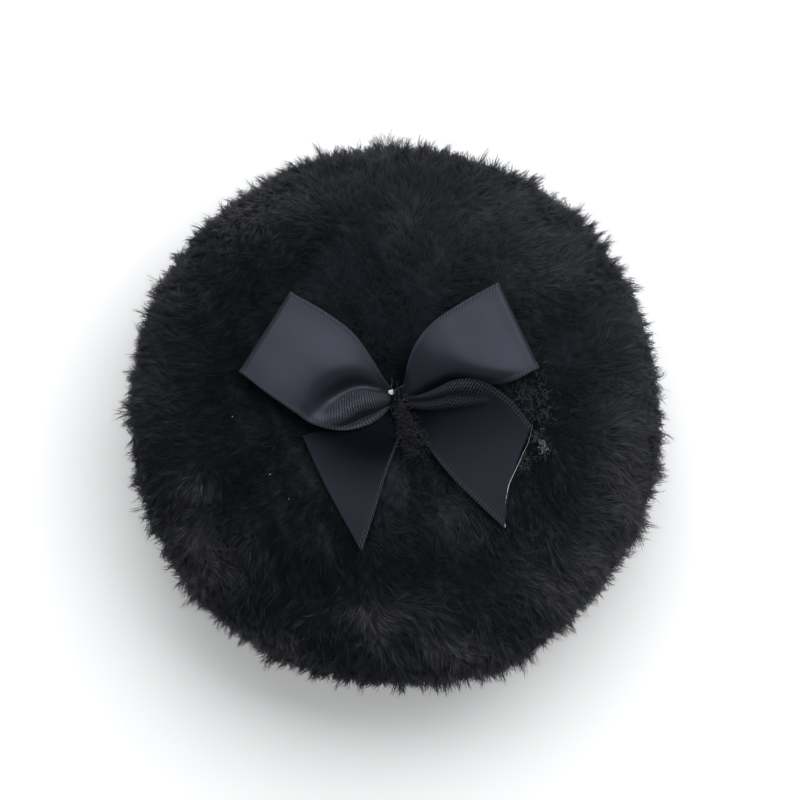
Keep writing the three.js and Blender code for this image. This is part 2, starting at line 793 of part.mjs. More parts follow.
function tieKnot() {
  const x = -(ANCHOR_THREAD / 2 + CLEARANCE + TIE_KNOT / 2);
  const y = KNOT_OFFSET_SHARE * TIE_HALF_WIDTH;
  const z = TIE_HALF_HEIGHT + TIE_THREAD / 2 + CLEARANCE + TIE_KNOT / 2;
  const nub = new THREE.SphereGeometry(TIE_KNOT / 2, 2 * THREAD_SIDES, THREAD_SIDES);
  const middle = new THREE.Vector3(x, y, z);
  const ends = [
    new THREE.Vector3(x, y + TIE_END_REACH, z + TIE_KNOT),
    new THREE.Vector3(x + 2 * TIE_KNOT, y + TIE_KNOT, z + TIE_KNOT),
  ].map((tip) => {
    const rise = middle.clone().lerp(tip, 1 / 2);
    rise.z += TIE_KNOT / 2;
    const path = new THREE.CatmullRomCurve3([middle, rise, tip]);
    return solidOf(tube(path, TIE_THREAD, KNOT_END_STEPS, THREAD_SIDES));
  });
  return geometryOf(joined([solidOf(nub.translate(x, y, z)), ...ends]));
}

function anchorKnotZ() {
  const backing = TOP_SEAM_Z + TOP_DEPTH - FABRIC - TUFT_DEPTH;
  return backing - CLEARANCE - ANCHOR_KNOT / 2;
}

const KNOT_TURN_SHARES = [0.2, 0.4, 0.6, 0.8, 1];
const SHANK_TIP_SHARE = 0.25;

function anchorThread() {
  const loop = new THREE.TorusGeometry(1, ANCHOR_THREAD / 2, THREAD_SIDES, LOOP_STEPS);
  const places = loop.attributes.position;
  for (let i = 0; i < places.count; i += 1) {
    const angle = Math.atan2(places.getY(i), places.getX(i));
    const out = Math.hypot(places.getX(i), places.getY(i)) - 1;
    const across = (ANCHOR_HALF_WIDTH + out) * Math.cos(angle);
    const up = (ANCHOR_HALF_HEIGHT + out) * Math.sin(angle);
    places.setXYZ(i, places.getZ(i), across, up);
  }
  const knotZ = anchorKnotZ() - KNOT_Z;
  const neck = Math.asin(ANCHOR_SHANK / ANCHOR_KNOT);
  const knotPoints = KNOT_TURN_SHARES.map((share) => {
    const angle = Math.PI - share * (Math.PI - neck);
    const radius = (ANCHOR_KNOT / 2) * Math.sin(angle);
    return new THREE.Vector2(radius, knotZ + (ANCHOR_KNOT / 2) * Math.cos(angle));
  });
  const profile = [
    new THREE.Vector2(0, knotZ - ANCHOR_KNOT / 2),
    ...knotPoints,
    new THREE.Vector2(ANCHOR_SHANK / 2, -ANCHOR_HALF_HEIGHT - ANCHOR_THREAD),
    new THREE.Vector2(SHANK_TIP_SHARE * ANCHOR_THREAD, -ANCHOR_HALF_HEIGHT),
    new THREE.Vector2(0, -ANCHOR_HALF_HEIGHT),
  ];
  const shank = new THREE.LatheGeometry(profile, SHANK_SEGMENTS).rotateX(Math.PI / 2);
  return geometryOf(joined([loop, shank].map(solidOf)));
}

// The assembly

const puff = new THREE.Group();
puff.add(
  named('top_plush_panel', topPanel(), PLUSH),
  named('bottom_plush_panel', bottomPanel(), PLUSH),
  named('filling_pad', fillingPad(), PAD),
  named('rim_seam_thread', stitches(CLOSING_STITCHES, RIM_STITCHES), BLACK_THREAD),
  named('closing_stitches', stitches(0, CLOSING_STITCHES), BLACK_THREAD),
);

const bow = new THREE.Group();
bow.position.set(TUFT_X, TUFT_Y, KNOT_Z);
bow.add(
  named('bow_gather', gather(), SATIN),
  named('bow_loop_left', ribbonGeometry(loopRows(LEFT_LOOP)), SATIN),
  named('bow_loop_right', ribbonGeometry(loopRows(RIGHT_LOOP)), SATIN),
  named('bow_tail_left', ribbonGeometry(tailRows(LEFT_TAIL)), SATIN),
  named('bow_tail_right', ribbonGeometry(tailRows(RIGHT_TAIL)), SATIN),
  named('bow_tie_thread', tieThread(), BLACK_THREAD),
  named('bow_tie_knot', tieKnot(), PALE_THREAD),
  named('bow_anchor_thread', anchorThread(), BLACK_THREAD),
);

const powderPuff = new THREE.Group();
powderPuff.add(puff, bow);

export default powderPuff;
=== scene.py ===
import json
import math

import bpy
import numpy as np
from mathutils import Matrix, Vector
from mathutils.bvhtree import BVHTree
from mathutils.kdtree import KDTree


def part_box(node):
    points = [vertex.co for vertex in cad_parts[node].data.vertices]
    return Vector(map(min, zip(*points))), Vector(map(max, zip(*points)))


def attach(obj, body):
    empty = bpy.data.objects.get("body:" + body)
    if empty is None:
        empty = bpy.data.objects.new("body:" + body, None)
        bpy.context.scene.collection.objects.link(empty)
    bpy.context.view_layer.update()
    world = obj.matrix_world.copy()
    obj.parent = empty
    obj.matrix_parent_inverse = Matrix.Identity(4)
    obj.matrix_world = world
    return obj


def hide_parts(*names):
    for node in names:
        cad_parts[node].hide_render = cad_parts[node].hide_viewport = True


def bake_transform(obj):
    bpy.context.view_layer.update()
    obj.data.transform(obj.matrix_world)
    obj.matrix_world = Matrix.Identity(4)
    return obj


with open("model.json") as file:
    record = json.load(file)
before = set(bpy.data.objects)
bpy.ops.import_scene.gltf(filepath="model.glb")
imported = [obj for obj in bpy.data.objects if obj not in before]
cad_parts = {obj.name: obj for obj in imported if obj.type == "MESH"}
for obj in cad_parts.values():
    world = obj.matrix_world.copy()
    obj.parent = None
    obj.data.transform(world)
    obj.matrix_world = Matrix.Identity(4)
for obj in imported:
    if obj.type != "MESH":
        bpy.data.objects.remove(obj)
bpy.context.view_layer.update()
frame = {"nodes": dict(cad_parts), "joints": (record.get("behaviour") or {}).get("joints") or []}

MM = 0.001
UP = np.array([0, 0, 1.0])


def box_of(node):
    """The lowest and highest corners of a CAD node in millimetres."""
    return [[round(v / MM, 3) for v in corner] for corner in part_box(node)]


# Sizes taken from the frame

BOW_HINGE = next(joint for joint in frame["joints"] if joint["name"] == "bow_turn")
BOW_TURN = BOW_HINGE["range_deg"][1]
TUFT = np.round(np.array(BOW_HINGE["pos_m"][:2]) / MM, 3)
TOP_LOW, TOP_HIGH = box_of("top_plush_panel")
PUFF_RADIUS = TOP_HIGH[0]
TOP_SEAM = TOP_LOW[2]
BOTTOM_SEAM = box_of("bottom_plush_panel")[1][2]

# Sizes of the CAD that no box gives

THICKNESS = 30.0
FOOT_RADIUS = 30.0
SIDE_DRAW_IN = 1.6
BULGE_OFFSET = 4.5
CROWN_FULLNESS = 2.6
TUFT_DEPTH = 6.0
TUFT_RADIUS = 9.0
PULL_START_SHARE = 0.22
PULL_END_SHARE = 0.62
ALLOWANCE_OUTER = 34.4
ALLOWANCE_INNER = 30.4
GATHER_LIFT = 2.838

TOP_DEPTH = THICKNESS - TOP_SEAM
KNOT = np.array([*TUFT, THICKNESS - TUFT_DEPTH + GATHER_LIFT])


# Small helpers


def smoothstep(x, low, high):
    t = np.clip((np.asarray(x, float) - low) / (high - low), 0, 1)
    return t * t * (3 - 2 * t)


def unit(vectors):
    """Vectors of length 1 in the same directions."""
    return vectors / (np.linalg.norm(vectors, axis=-1, keepdims=True) + 1e-12)


def waves(seed, wavelength, places):
    """A smooth field between about -1 and 1, made of plane waves in random directions."""
    count = 7
    rng = np.random.default_rng(seed)
    directions = unit(rng.normal(size=(count, 3)))
    lengths = wavelength * rng.uniform(0.7, 1.5, count)
    phases = rng.uniform(0, 2 * math.pi, count)
    angle = places @ (directions * (2 * math.pi / lengths)[:, None]).T + phases
    return np.sin(angle).sum(axis=1) * math.sqrt(2 / count) / 1.6


def running_total(steps):
    return np.concatenate([[0], np.cumsum(steps)])


def once_around(count):
    """Evenly spaced angles of a full turn."""
    return np.linspace(0, 2 * math.pi, count, endpoint=False)


def mixed(a, b, start, end, t):
    """The value at t on the straight run from a at start to b at end."""
    return (end - t) / (end - start) * a + (t - start) / (end - start) * b


def spline(points, count):
    """Evenly spaced points on a smooth curve through the given ones."""
    p = np.asarray(points, float)
    ends = np.vstack([2 * p[0] - p[1], p, 2 * p[-1] - p[-2]])
    knots = [0.0]
    for a, b in zip(ends[:-1], ends[1:]):
        knots.append(knots[-1] + max(np.linalg.norm(b - a), 1e-6) ** 0.5)
    dense = []
    for i in range(1, len(ends) - 2):
        p0, p1, p2, p3 = ends[i - 1 : i + 3]
        t0, t1, t2, t3 = knots[i - 1 : i + 3]
        for t in np.linspace(t1, t2, 40, endpoint=False):
            a1, a2, a3 = mixed(p0, p1, t0, t1, t), mixed(p1, p2, t1, t2, t), mixed(p2, p3, t2, t3, t)
            b1, b2 = mixed(a1, a2, t0, t2, t), mixed(a2, a3, t1, t3, t)
            dense.append(mixed(b1, b2, t1, t2, t))
    dense = np.array([*dense, p[-1]])
    run = running_total(np.linalg.norm(np.diff(dense, axis=0), axis=1))
    want = np.linspace(0, run[-1], count)
    return np.stack([np.interp(want, run, dense[:, k]) for k in range(dense.shape[1])], axis=1)


def through(values, shares):
    """Smooth values through evenly spaced ones."""
    v = np.asarray(values, float)
    x = np.clip(np.asarray(shares, float), 0, 1) * (len(v) - 1)
    i = np.clip(np.floor(x).astype(int), 0, len(v) - 2)
    t = x - i
    before = v[np.maximum(i - 1, 0)]
    after = v[np.minimum(i + 2, len(v) - 1)]
    a, b = v[i], v[i + 1]
    m0, m1 = (b - before) / 2, (after - a) / 2
    return (
        (2 * t**3 - 3 * t**2 + 1) * a
        + (t**3 - 2 * t**2 + t) * m0
        + (-2 * t**3 + 3 * t**2) * b
        + (t**3 - t**2) * m1
    )


def add_object(name, data):
    made = bpy.data.objects.new(name, data)
    bpy.context.scene.collection.objects.link(made)
    return made


def mesh_object(name, points, loops, starts, material, smooth=True):
    """A mesh from millimetre points and flat arrays of corner indices and face starts."""
    mesh = bpy.data.meshes.new(name)
    mesh.vertices.add(len(points))
    mesh.vertices.foreach_set("co", (np.asarray(points, np.float32) * MM).ravel())
    mesh.loops.add(len(loops))
    mesh.loops.foreach_set("vertex_index", np.asarray(loops, np.int32))
    mesh.polygons.add(len(starts))
    mesh.polygons.foreach_set("loop_start", np.asarray(starts, np.int32))
    mesh.update(calc_edges=True)
    mesh.polygons.foreach_set("use_smooth", np.full(len(starts), smooth))
    mesh.materials.append(material)
    return add_object(name, mesh)


def add_value(made, name, values):
    attribute = made.data.attributes.new(name, "FLOAT", "POINT")
    attribute.data.foreach_set("value", np.asarray(values, np.float32).ravel())


def add_uv(made, name, uv):
    layer = made.data.uv_layers.new(name=name)
    layer.data.foreach_set("uv", np.asarray(uv, np.float32).ravel())


def grid_loops(rows, columns):
    """Corner indices of the quads of a grid of points whose rows are closed rings."""
    i, j = np.meshgrid(np.arange(rows - 1), np.arange(columns), indexing="ij")
    a = i * columns + j
    b = i * columns + (j + 1) % columns
    return np.stack([a, b, b + columns, a + columns], axis=-1).reshape(-1)


def grid_object(name, grid, material):
    """A closed surface through rings of points, with both end rings capped."""
    rows, columns = grid.shape[:2]
    quads = grid_loops(rows, columns)
    first = np.arange(columns)[::-1]
    last = (rows - 1) * columns + np.arange(columns)
    starts = np.concatenate([np.arange(len(quads) // 4) * 4, [len(quads), len(quads) + columns]])
    return mesh_object(name, grid.reshape(-1, 3), np.concatenate([quads, first, last]), starts, material)


def frames_along(paths, rng):
    """Two directions across each point of many paths."""
    tangent = unit(np.gradient(paths, axis=1))
    side = rng.normal(size=(len(paths), 1, 3))
    side = side - (side * tangent[:, :1]).sum(2, keepdims=True) * tangent[:, :1]
    side = np.repeat(side, paths.shape[1], axis=1)
    side = unit(side - (side * tangent).sum(2, keepdims=True) * tangent)
    return side, np.cross(tangent, side)


def thread_faces(rings, sides):
    """One thread's corner indices, the corners in each face and their map places: rings, a tip and a foot."""
    faces, lengths, uv = [], [], []
    for r in range(rings - 1):
        for s in range(sides):
            n = (s + 1) % sides
            faces += [r * sides + s, r * sides + n, (r + 1) * sides + n, (r + 1) * sides + s]
            uv += [(s, r), (s + 1, r), (s + 1, r + 1), (s, r + 1)]
            lengths.append(4)
    for s in range(sides):
        faces += [(rings - 1) * sides + s, (rings - 1) * sides + (s + 1) % sides, rings * sides]
        uv += [(s, rings - 1), (s + 1, rings - 1), (s + 0.5, rings)]
        lengths.append(3)
    faces += list(range(sides))[::-1]
    uv += [(s, -0.3 * (s % 2)) for s in range(sides)]
    return np.array(faces), [*lengths, sides], np.array(uv)


def fibres(name, paths, radii, material, tone=None, sides=3, seed=5, foot_tone=0.7):
    """Many closed tapered threads in one mesh. paths is (threads, points, 3), and each ends in a point."""
    count, steps = paths.shape[:2]
    rings = steps - 1
    side, up = frames_along(paths, np.random.default_rng(seed))
    angle = once_around(sides)
    spread = np.cos(angle)[:, None] * side[:, :rings, None] + np.sin(angle)[:, None] * up[:, :rings, None]
    ring_points = paths[:, :rings, None] + radii[:rings, None, None] * spread
    points = np.concatenate([ring_points.reshape(count, -1, 3), paths[:, -1:]], axis=1)
    faces, lengths, uv = thread_faces(rings, sides)
    loops = (faces[None] + np.arange(count)[:, None] * (rings * sides + 1)).ravel()
    starts = running_total(np.tile(lengths, count))[:-1]
    made = mesh_object(name, points.reshape(-1, 3), loops, starts, material)
    share = np.concatenate([np.repeat(np.arange(rings) / rings, sides), [1.0]])
    tone = np.ones(count) if tone is None else np.asarray(tone)
    # Painted shade: each thread's tone falls to foot_tone times its value at its foot.
    add_value(made, "tone", tone[:, None] * (foot_tone + (1 - foot_tone) * share[None]))
    cells = math.ceil(math.sqrt(count))
    uv = (uv / [sides, rings] * 0.8 + [0.1, 0.15]) / cells
    corner = np.stack([np.arange(count) % cells, np.arange(count) // cells], axis=1) / cells
    add_uv(made, "OFBake", uv[None] + corner[:, None])
    return made


# Materials


class Material:
    """A node material with short calls for the nodes used here."""

    def __init__(self, name):
        self.data = bpy.data.materials.new(name)
        self.data.use_nodes = True
        self.tree = self.data.node_tree
        self.shader = self.tree.nodes["Principled BSDF"]

    def feed(self, socket, value):
        """Gives a socket another node's output, a colour or a number."""
        if isinstance(value, bpy.types.NodeSocket):
            self.tree.links.new(value, socket)
        else:
            socket.default_value = (*value, 1) if socket.type == "RGBA" else value

    def node(self, kind, inputs=(), **settings):
        made = self.tree.nodes.new("ShaderNode" + kind)
        for key, value in settings.items():
            setattr(made, key, value)
        for key, value in dict(inputs).items():
            self.feed(made.inputs[key], value)
        return made

    def set(self, **values):
        for key, value in values.items():
            self.feed(self.shader.inputs[key.replace("_", " ")], value)

    def coordinates(self):
        return self.node("TexCoord").outputs["Object"]

    def uv(self, name):
        return self.node("UVMap", uv_map=name).outputs["UV"]

    def value(self, name):
        return self.node("Attribute", attribute_name=name).outputs["Fac"]

    def scaled(self, vector, scale):
        return self.node("Mapping", dict(Vector=vector, Scale=scale)).outputs["Vector"]

    def noise(self, vector, scale, detail):
        inputs = dict(Vector=vector, Scale=scale, Detail=detail, Roughness=0.55)
        return self.node("TexNoise", inputs).outputs["Fac"]

    def bands(self, vector, scale, direction, distortion):
        inputs = dict(Vector=vector, Scale=scale, Distortion=distortion)
        return self.node("TexWave", inputs, bands_direction=direction).outputs["Fac"]

    def math(self, kind, a, b, clamp=False):
        made = self.node("Math", operation=kind, use_clamp=clamp)
        self.feed(made.inputs[0], a)
        self.feed(made.inputs[1], b)
        return made.outputs[0]

    def times(self, a, b, clamp=False):
        return self.math("MULTIPLY", a, b, clamp)

    def plus(self, a, b, clamp=False):
        return self.math("ADD", a, b, clamp)

    def between(self, factor, low, high):
        """A colour that runs from low to high with the factor."""
        made = self.node("Mix", data_type="RGBA")
        sockets = {socket.identifier: socket for socket in made.inputs}
        self.feed(sockets["Factor_Float"], factor)
        self.feed(sockets["A_Color"], low)
        self.feed(sockets["B_Color"], high)
        return next(socket for socket in made.outputs if socket.identifier == "Result_Color")

    def bump(self, height, distance, strength=1.0, **under):
        inputs = dict(Height=height, Distance=distance, Strength=strength, **under)
        return self.node("Bump", inputs).outputs["Normal"]


def floor_material(colour, lift):
    """A pale floor that takes shadows, and is lifted to white where rays see it."""
    m = Material("white_floor")
    rays = m.node("LightPath").outputs
    seen = rays["Is Camera Ray"]
    for ray in ("Is Glossy Ray", "Is Transmission Ray"):
        seen = m.math("MAXIMUM", seen, rays[ray])
    m.set(Base_Color=colour, Roughness=0.9, Specular_IOR_Level=0.0)
    m.set(Emission_Color=(1, 1, 1), Emission_Strength=m.times(seen, lift))
    return m.data


def pile_material(low, high):
    m = Material("plush_pile")
    fine = m.noise(m.coordinates(), 900, 2)
    factor = m.times(m.value("tone"), m.plus(m.times(fine, 0.4), 0.6), clamp=True)
    m.set(Base_Color=m.between(factor, low, high), Roughness=0.7, Specular_IOR_Level=0.16)
    m.set(Sheen_Weight=0.04, Sheen_Roughness=0.5, Sheen_Tint=(0.85, 0.9, 1))
    return m.data


def woven_dots(m, uv):
    """The dotted weave of the ribbon's ribbed places and selvedges, from 0 to 1."""
    ribs = m.bands(m.scaled(uv, (0.35, 1.0, 1.0)), 20.0, "DIAGONAL", 2.2)
    dots = m.noise(m.scaled(uv, (34.0, 40.0, 1.0)), 1.0, 2)
    rows = m.bands(m.scaled(uv, (1.0, 0.12, 1.0)), 9.0, "X", 1.6)
    beads = m.times(ribs, m.plus(m.times(rows, 0.5), 0.5))
    return m.times(beads, m.plus(m.times(dots, 1.5), 0.1), clamp=True)


def satin_material(name, shine, roughness, low, high):
    """Satin that a per-point value darkens with painted shade, with the dotted weave where the value band
    asks for it.
    """
    m = Material(name)
    uv = m.uv("ribbon")
    band = m.value("band")
    streaks = m.noise(m.scaled(uv, (3.0, 60.0, 1.0)), 4.0, 3)
    cloud = m.noise(m.coordinates(), 160, 3)
    satin = m.between(streaks, low, high)
    satin = m.between(m.times(cloud, 0.4), satin, tuple(1.4 * v for v in high))
    # Painted shade: the satin runs toward this near-black colour as the painted shade value rises.
    satin = m.between(m.value("painted_shade"), satin, (0.0012, 0.0019, 0.0036))
    dots = woven_dots(m, uv)
    woven = m.between(dots, (0.005, 0.0058, 0.0085), (0.088, 0.092, 0.112))
    fine = m.bump(m.bands(uv, 60.0, "Y", 0.3), 0.00001, 0.3)
    m.set(Base_Color=m.between(m.times(band, 0.85), satin, woven))
    m.set(Roughness=m.plus(m.times(band, 0.3), roughness))
    m.set(Normal=m.bump(m.times(dots, band), 0.0001, 0.7, Normal=fine))
    m.set(Specular_IOR_Level=shine, Specular_Tint=(0.76, 0.81, 1.0))
    m.set(Sheen_Weight=0.03, Sheen_Roughness=0.3, Sheen_Tint=(0.8, 0.87, 1))
    return m.data


def thread_material(name, low, high, twist=2600.0, roughness=0.75):
    m = Material(name)
    place = m.coordinates()
    spun = m.bands(m.scaled(place, (1.0, 0.6, 0.8)), twist / 6.28, "DIAGONAL", 1.0)
    fluff = m.noise(place, 2400, 3)
    factor = m.plus(m.times(spun, 0.6), m.times(fluff, 0.4), clamp=True)
    m.set(Base_Color=m.between(factor, low, high), Normal=m.bump(factor, 0.00006))
    m.set(Roughness=roughness, Specular_IOR_Level=0.06)
    return m.data


def fuzz_material(low, high):
    m = Material("grey_fuzz")
    grain = m.noise(m.coordinates(), 1500, 2)
    factor = m.times(m.value("tone"), m.plus(m.times(grain, 0.8), 0.4))
    m.set(Base_Color=m.between(factor, low, high), Roughness=0.8, Specular_IOR_Level=0.25)
    return m.data


def wadding_material(low, high):
    m = Material("wadding")
    fluff = m.noise(m.coordinates(), 700, 5)
    m.set(Base_Color=m.between(fluff, low, high), Normal=m.bump(fluff, 0.0008))
    m.set(Roughness=0.95, Specular_IOR_Level=0.2)
    return m.data


FLOOR = floor_material((0.94, 0.94, 0.94), lift=0.17)
PILE = pile_material((0.0028, 0.0048, 0.0088), (0.092, 0.093, 0.105))
SATIN = satin_material("black_satin", 0.36, 0.42, (0.0075, 0.0083, 0.0127), (0.0122, 0.0134, 0.0186))
# Painted light and shade: the tails' satin is a copy of the loops' with little shine and lighter colours of
# its own, set to how the tails look in their light.
TAIL_SATIN = satin_material("black_satin_tails", 0.03, 0.46, (0.0165, 0.019, 0.0245), (0.022, 0.025, 0.0315))
BLACK_THREAD = thread_material("black_thread", (0.0015, 0.0018, 0.0024), (0.0055, 0.006, 0.0075))
GREY_THREAD = thread_material("grey_thread", (0.022, 0.024, 0.023), (0.075, 0.08, 0.077))
PALE_THREAD = thread_material("pale_thread", (0.42, 0.43, 0.45), (0.86, 0.87, 0.88), 1500.0, 0.5)
FUZZ = fuzz_material((0.015, 0.015, 0.0185), (0.74, 0.76, 0.82))
WADDING = wadding_material((0.55, 0.54, 0.5), (0.82, 0.81, 0.78))

# Camera, floor and light, with places in metres

CAMERA_PLACE = (0.00083, 0.00267, 1.516)
CAMERA_LENS = 405
SENSOR_WIDTH = 36
FLOOR_HALF = 4
WORLD_COLOUR = (0.97, 0.985, 1.0, 1)
WORLD_STRENGTH = 0.38
KEY_PLACE = (0.2, 0.56, 0.84)
KEY_TARGET = (0, 0, 0.02)
KEY_SIZE = (1.25, 0.85)
KEY_COLOUR = (0.98, 0.99, 1.0)
KEY_POWER = 11.8


def make_camera():
    data = bpy.data.cameras.new("camera")
    data.lens = CAMERA_LENS
    data.sensor_width = SENSOR_WIDTH
    data.clip_start = 0.05
    data.clip_end = 20
    camera = add_object("camera", data)
    camera.location = CAMERA_PLACE
    bpy.context.scene.camera = camera


def make_world():
    world = bpy.data.worlds.new("studio")
    bpy.context.scene.world = world
    world.use_nodes = True
    light = world.node_tree.nodes["Background"]
    light.inputs["Color"].default_value = WORLD_COLOUR
    light.inputs["Strength"].default_value = WORLD_STRENGTH


def make_floor():
    a = FLOOR_HALF / MM
    corners = [(-a, -a, 0), (a, -a, 0), (a, a, 0), (-a, a, 0)]
    mesh_object("floor", corners, [0, 1, 2, 3], [0], FLOOR, smooth=False)


def make_key_light():
    data = bpy.data.lights.new("key_light", "AREA")
    data.shape = "RECTANGLE"
    data.size, data.size_y = KEY_SIZE
    data.energy = KEY_POWER
    data.color = KEY_COLOUR
    lamp = add_object("key_light", data)
    lamp.location = KEY_PLACE
    aim = Vector(KEY_TARGET) - Vector(KEY_PLACE)
    lamp.rotation_euler = aim.to_track_quat("-Z", "Y").to_euler()


def make_stage():
    make_camera()
    make_world()
    make_floor()
    make_key_light()
    bpy.context.scene.view_settings.view_transform = "Standard"


# The outline of the puff


def tuft_depth(radius):
    return TUFT_DEPTH * np.exp(-((radius / TUFT_RADIUS) ** 2))


def tuft_pull(radius):
    """How far a ring of the crown follows the tuft, which sits off the puff's middle."""
    return 1 - smoothstep(radius / PUFF_RADIUS, PULL_START_SHARE, PULL_END_SHARE)


def crown_height(plan):
    """Height of the puff's top, from the middle of the gather, under plan points of the bow."""
    place = plan.reshape(-1, 2) + KNOT[:2]
    radius = np.linalg.norm(place, axis=1)
    for _ in range(4):
        radius = np.linalg.norm(place - tuft_pull(radius)[:, None] * TUFT, axis=1)
    angle = np.arccos(np.clip(radius / PUFF_RADIUS, 0, 1) ** (CROWN_FULLNESS / 2))
    dome = BULGE_OFFSET + (TOP_DEPTH - BULGE_OFFSET) * np.sin(angle) ** (2 / CROWN_FULLNESS)
    return (dome + TOP_SEAM - tuft_depth(radius) - KNOT[2]).reshape(plan.shape[:-1])


def quarter(inner, high, fullness, count):
    """Radius and height on a full quarter turn from an inner radius out to the puff's side."""
    angle = np.linspace(1, 0, count) * math.pi / 2
    radius = inner + (PUFF_RADIUS - inner) * np.cos(angle) ** (2 / fullness)
    return radius, BULGE_OFFSET + (high - BULGE_OFFSET) * np.sin(angle) ** (2 / fullness)


def drawn_side():
    """Radius and height of the side, which draws in toward the seam."""
    share = np.linspace(1, 0, 24)[1:]
    return PUFF_RADIUS - SIDE_DRAW_IN * (1 - share * 0.95) ** 2, share * BULGE_OFFSET


def top_profile():
    """Radius and height from the crown's middle down to the seam."""
    crown, height = quarter(0, TOP_DEPTH, CROWN_FULLNESS, 240)
    side, low = drawn_side()
    return np.concatenate([crown, side]), np.concatenate([height - tuft_depth(crown), low]) + TOP_SEAM


def bottom_profile():
    """Radius and height from the foot's middle up to the seam."""
    flat = np.linspace(0, FOOT_RADIUS, 60)[:-1]
    roll, depth = quarter(FOOT_RADIUS, BOTTOM_SEAM, 2, 160)
    side, low = drawn_side()
    z = BOTTOM_SEAM - np.concatenate([np.full(len(flat), BOTTOM_SEAM), depth, low])
    return np.concatenate([flat, roll, side]), z


# The ribbon's leaves

RIBBON_WIDTH = 16.0
RIBBON_THICKNESS = 0.2
SELVEDGE = 0.07
LEAF_COLUMNS = 64
LOOP_ROWS = 60
TAIL_ROWS = 70
LOOP_REST = 1.1
LEAF_REST = 0.4
LAYER_GAP = 0.45
FOLD_TURNS = 13
SELVEDGE_TONE = 0.62

# Points are millimetres from the middle of the gather, +X right and +Y up in the plan view.
# Each leaf has its two long edges and its heights along rails from one edge to the other.
# A fold or a ribbed place is a line, with depths or amounts and half widths along it. lip says from
# where to where the second selvedge shows, cut how hollow the cut end is, shade how painted shade
# darkens the satin along and across the leaf, and beads how strongly its weave shows.
LEFT_LOOP = dict(
    upper=[(-0.5, 1.1), (-2.0, 2.8), (-4.2, 6.4), (-7.4, 10.7), (-12.0, 14.2), (-17.5, 17.4)],
    lower=[
        (-0.5, -1.2), (-3.0, -3.6), (-5.2, -4.8), (-9.2, -5.5),
        (-14.0, -4.4), (-17.2, -2.3), (-22.0, 1.0), (-26.0, 4.1),
    ],
    rails=[
        [0.9, 3.2, 4.3, 4.7, 4.6, 4.4, 4.2],
        [0.8, 3.6, 5.3, 6.0, 6.0, 5.6, 5.1],
        [0.2, 2.4, 3.9, 5.6, 6.7, 6.6, 5.8],
    ],
    under_rail=[-0.2, 1.1, 2.1, 2.9, 3.2, 3.2, 3.0],
    folds=[
        ([(-0.6, 0.3), (-3.2, 1.3), (-6.8, 1.7), (-11.0, -0.2), (-14.2, -2.7)],
         [-0.3, -1.6, -2.7, -2.3, -0.5], [0.7, 1.3, 2.0, 2.2, 1.6]),
        ([(-0.8, -0.3), (-3.4, -0.7), (-6.6, -1.0), (-10.0, -3.0), (-12.2, -4.0)],
         [0.3, 0.7, 0.9, 0.8, 0.2], [0.6, 1.1, 1.6, 1.6, 1.1]),
        ([(-0.9, -1.1), (-3.2, -2.3), (-5.6, -3.4), (-8.6, -4.7), (-10.8, -5.1)],
         [-0.3, -1.1, -1.4, -1.0, -0.1], [0.4, 0.5, 0.6, 0.5, 0.4]),
    ],
    ribbed=[
        ([(-0.8, -0.3), (-3.4, -0.5), (-6.8, -0.6), (-9.8, -2.4), (-11.6, -3.8)],
         [0.9, 1.0, 1.0, 1.0, 0.4], [0.8, 1.3, 1.7, 1.6, 1.0]),
        ([(-1.5, -2.0), (-4.0, -3.5), (-7.0, -4.7), (-9.5, -5.3)],
         [0.7, 0.8, 0.8, 0.3], [0.6, 0.8, 0.8, 0.6]),
    ],
    lip=(0.0, 0.42),
)

RIGHT_LOOP = dict(
    upper=[(0.6, 1.0), (1.3, 2.6), (1.8, 5.4), (3.1, 8.7), (5.9, 12.2), (11.3, 15.9), (16.7, 18.9)],
    lower=[
        (0.7, -0.2), (2.8, -0.3), (6.0, 0.7), (10.0, 1.9), (14.0, 2.0), (17.4, 2.3), (20.3, 3.2), (23.5, 4.8),
    ],
    rails=[
        [0.9, 3.2, 4.4, 4.7, 4.6, 4.4, 4.2],
        [0.8, 3.2, 4.9, 5.3, 5.2, 5.0, 4.6],
        [0.7, 2.9, 5.0, 5.8, 5.8, 5.5, 5.0],
        [0.5, 2.2, 4.4, 6.0, 6.3, 6.0, 5.4],
        [0.0, 1.2, 3.4, 5.8, 6.7, 6.4, 5.7],
    ],
    under_rail=[-0.3, 0.4, 1.2, 2.0, 2.6, 2.9, 2.9],
    folds=[
        ([(0.7, -0.2), (2.8, -0.2), (6.0, 0.9), (10.0, 2.0), (14.0, 1.9), (17.4, 1.9), (20.3, 2.6)],
         [0.0, -0.4, -1.9, -3.4, -3.5, -2.6, -0.6], [0.6, 0.9, 1.5, 1.8, 1.6, 1.5, 1.3]),
    ],
    ribbed=[],
    lip=(0.78, 1.1),
)

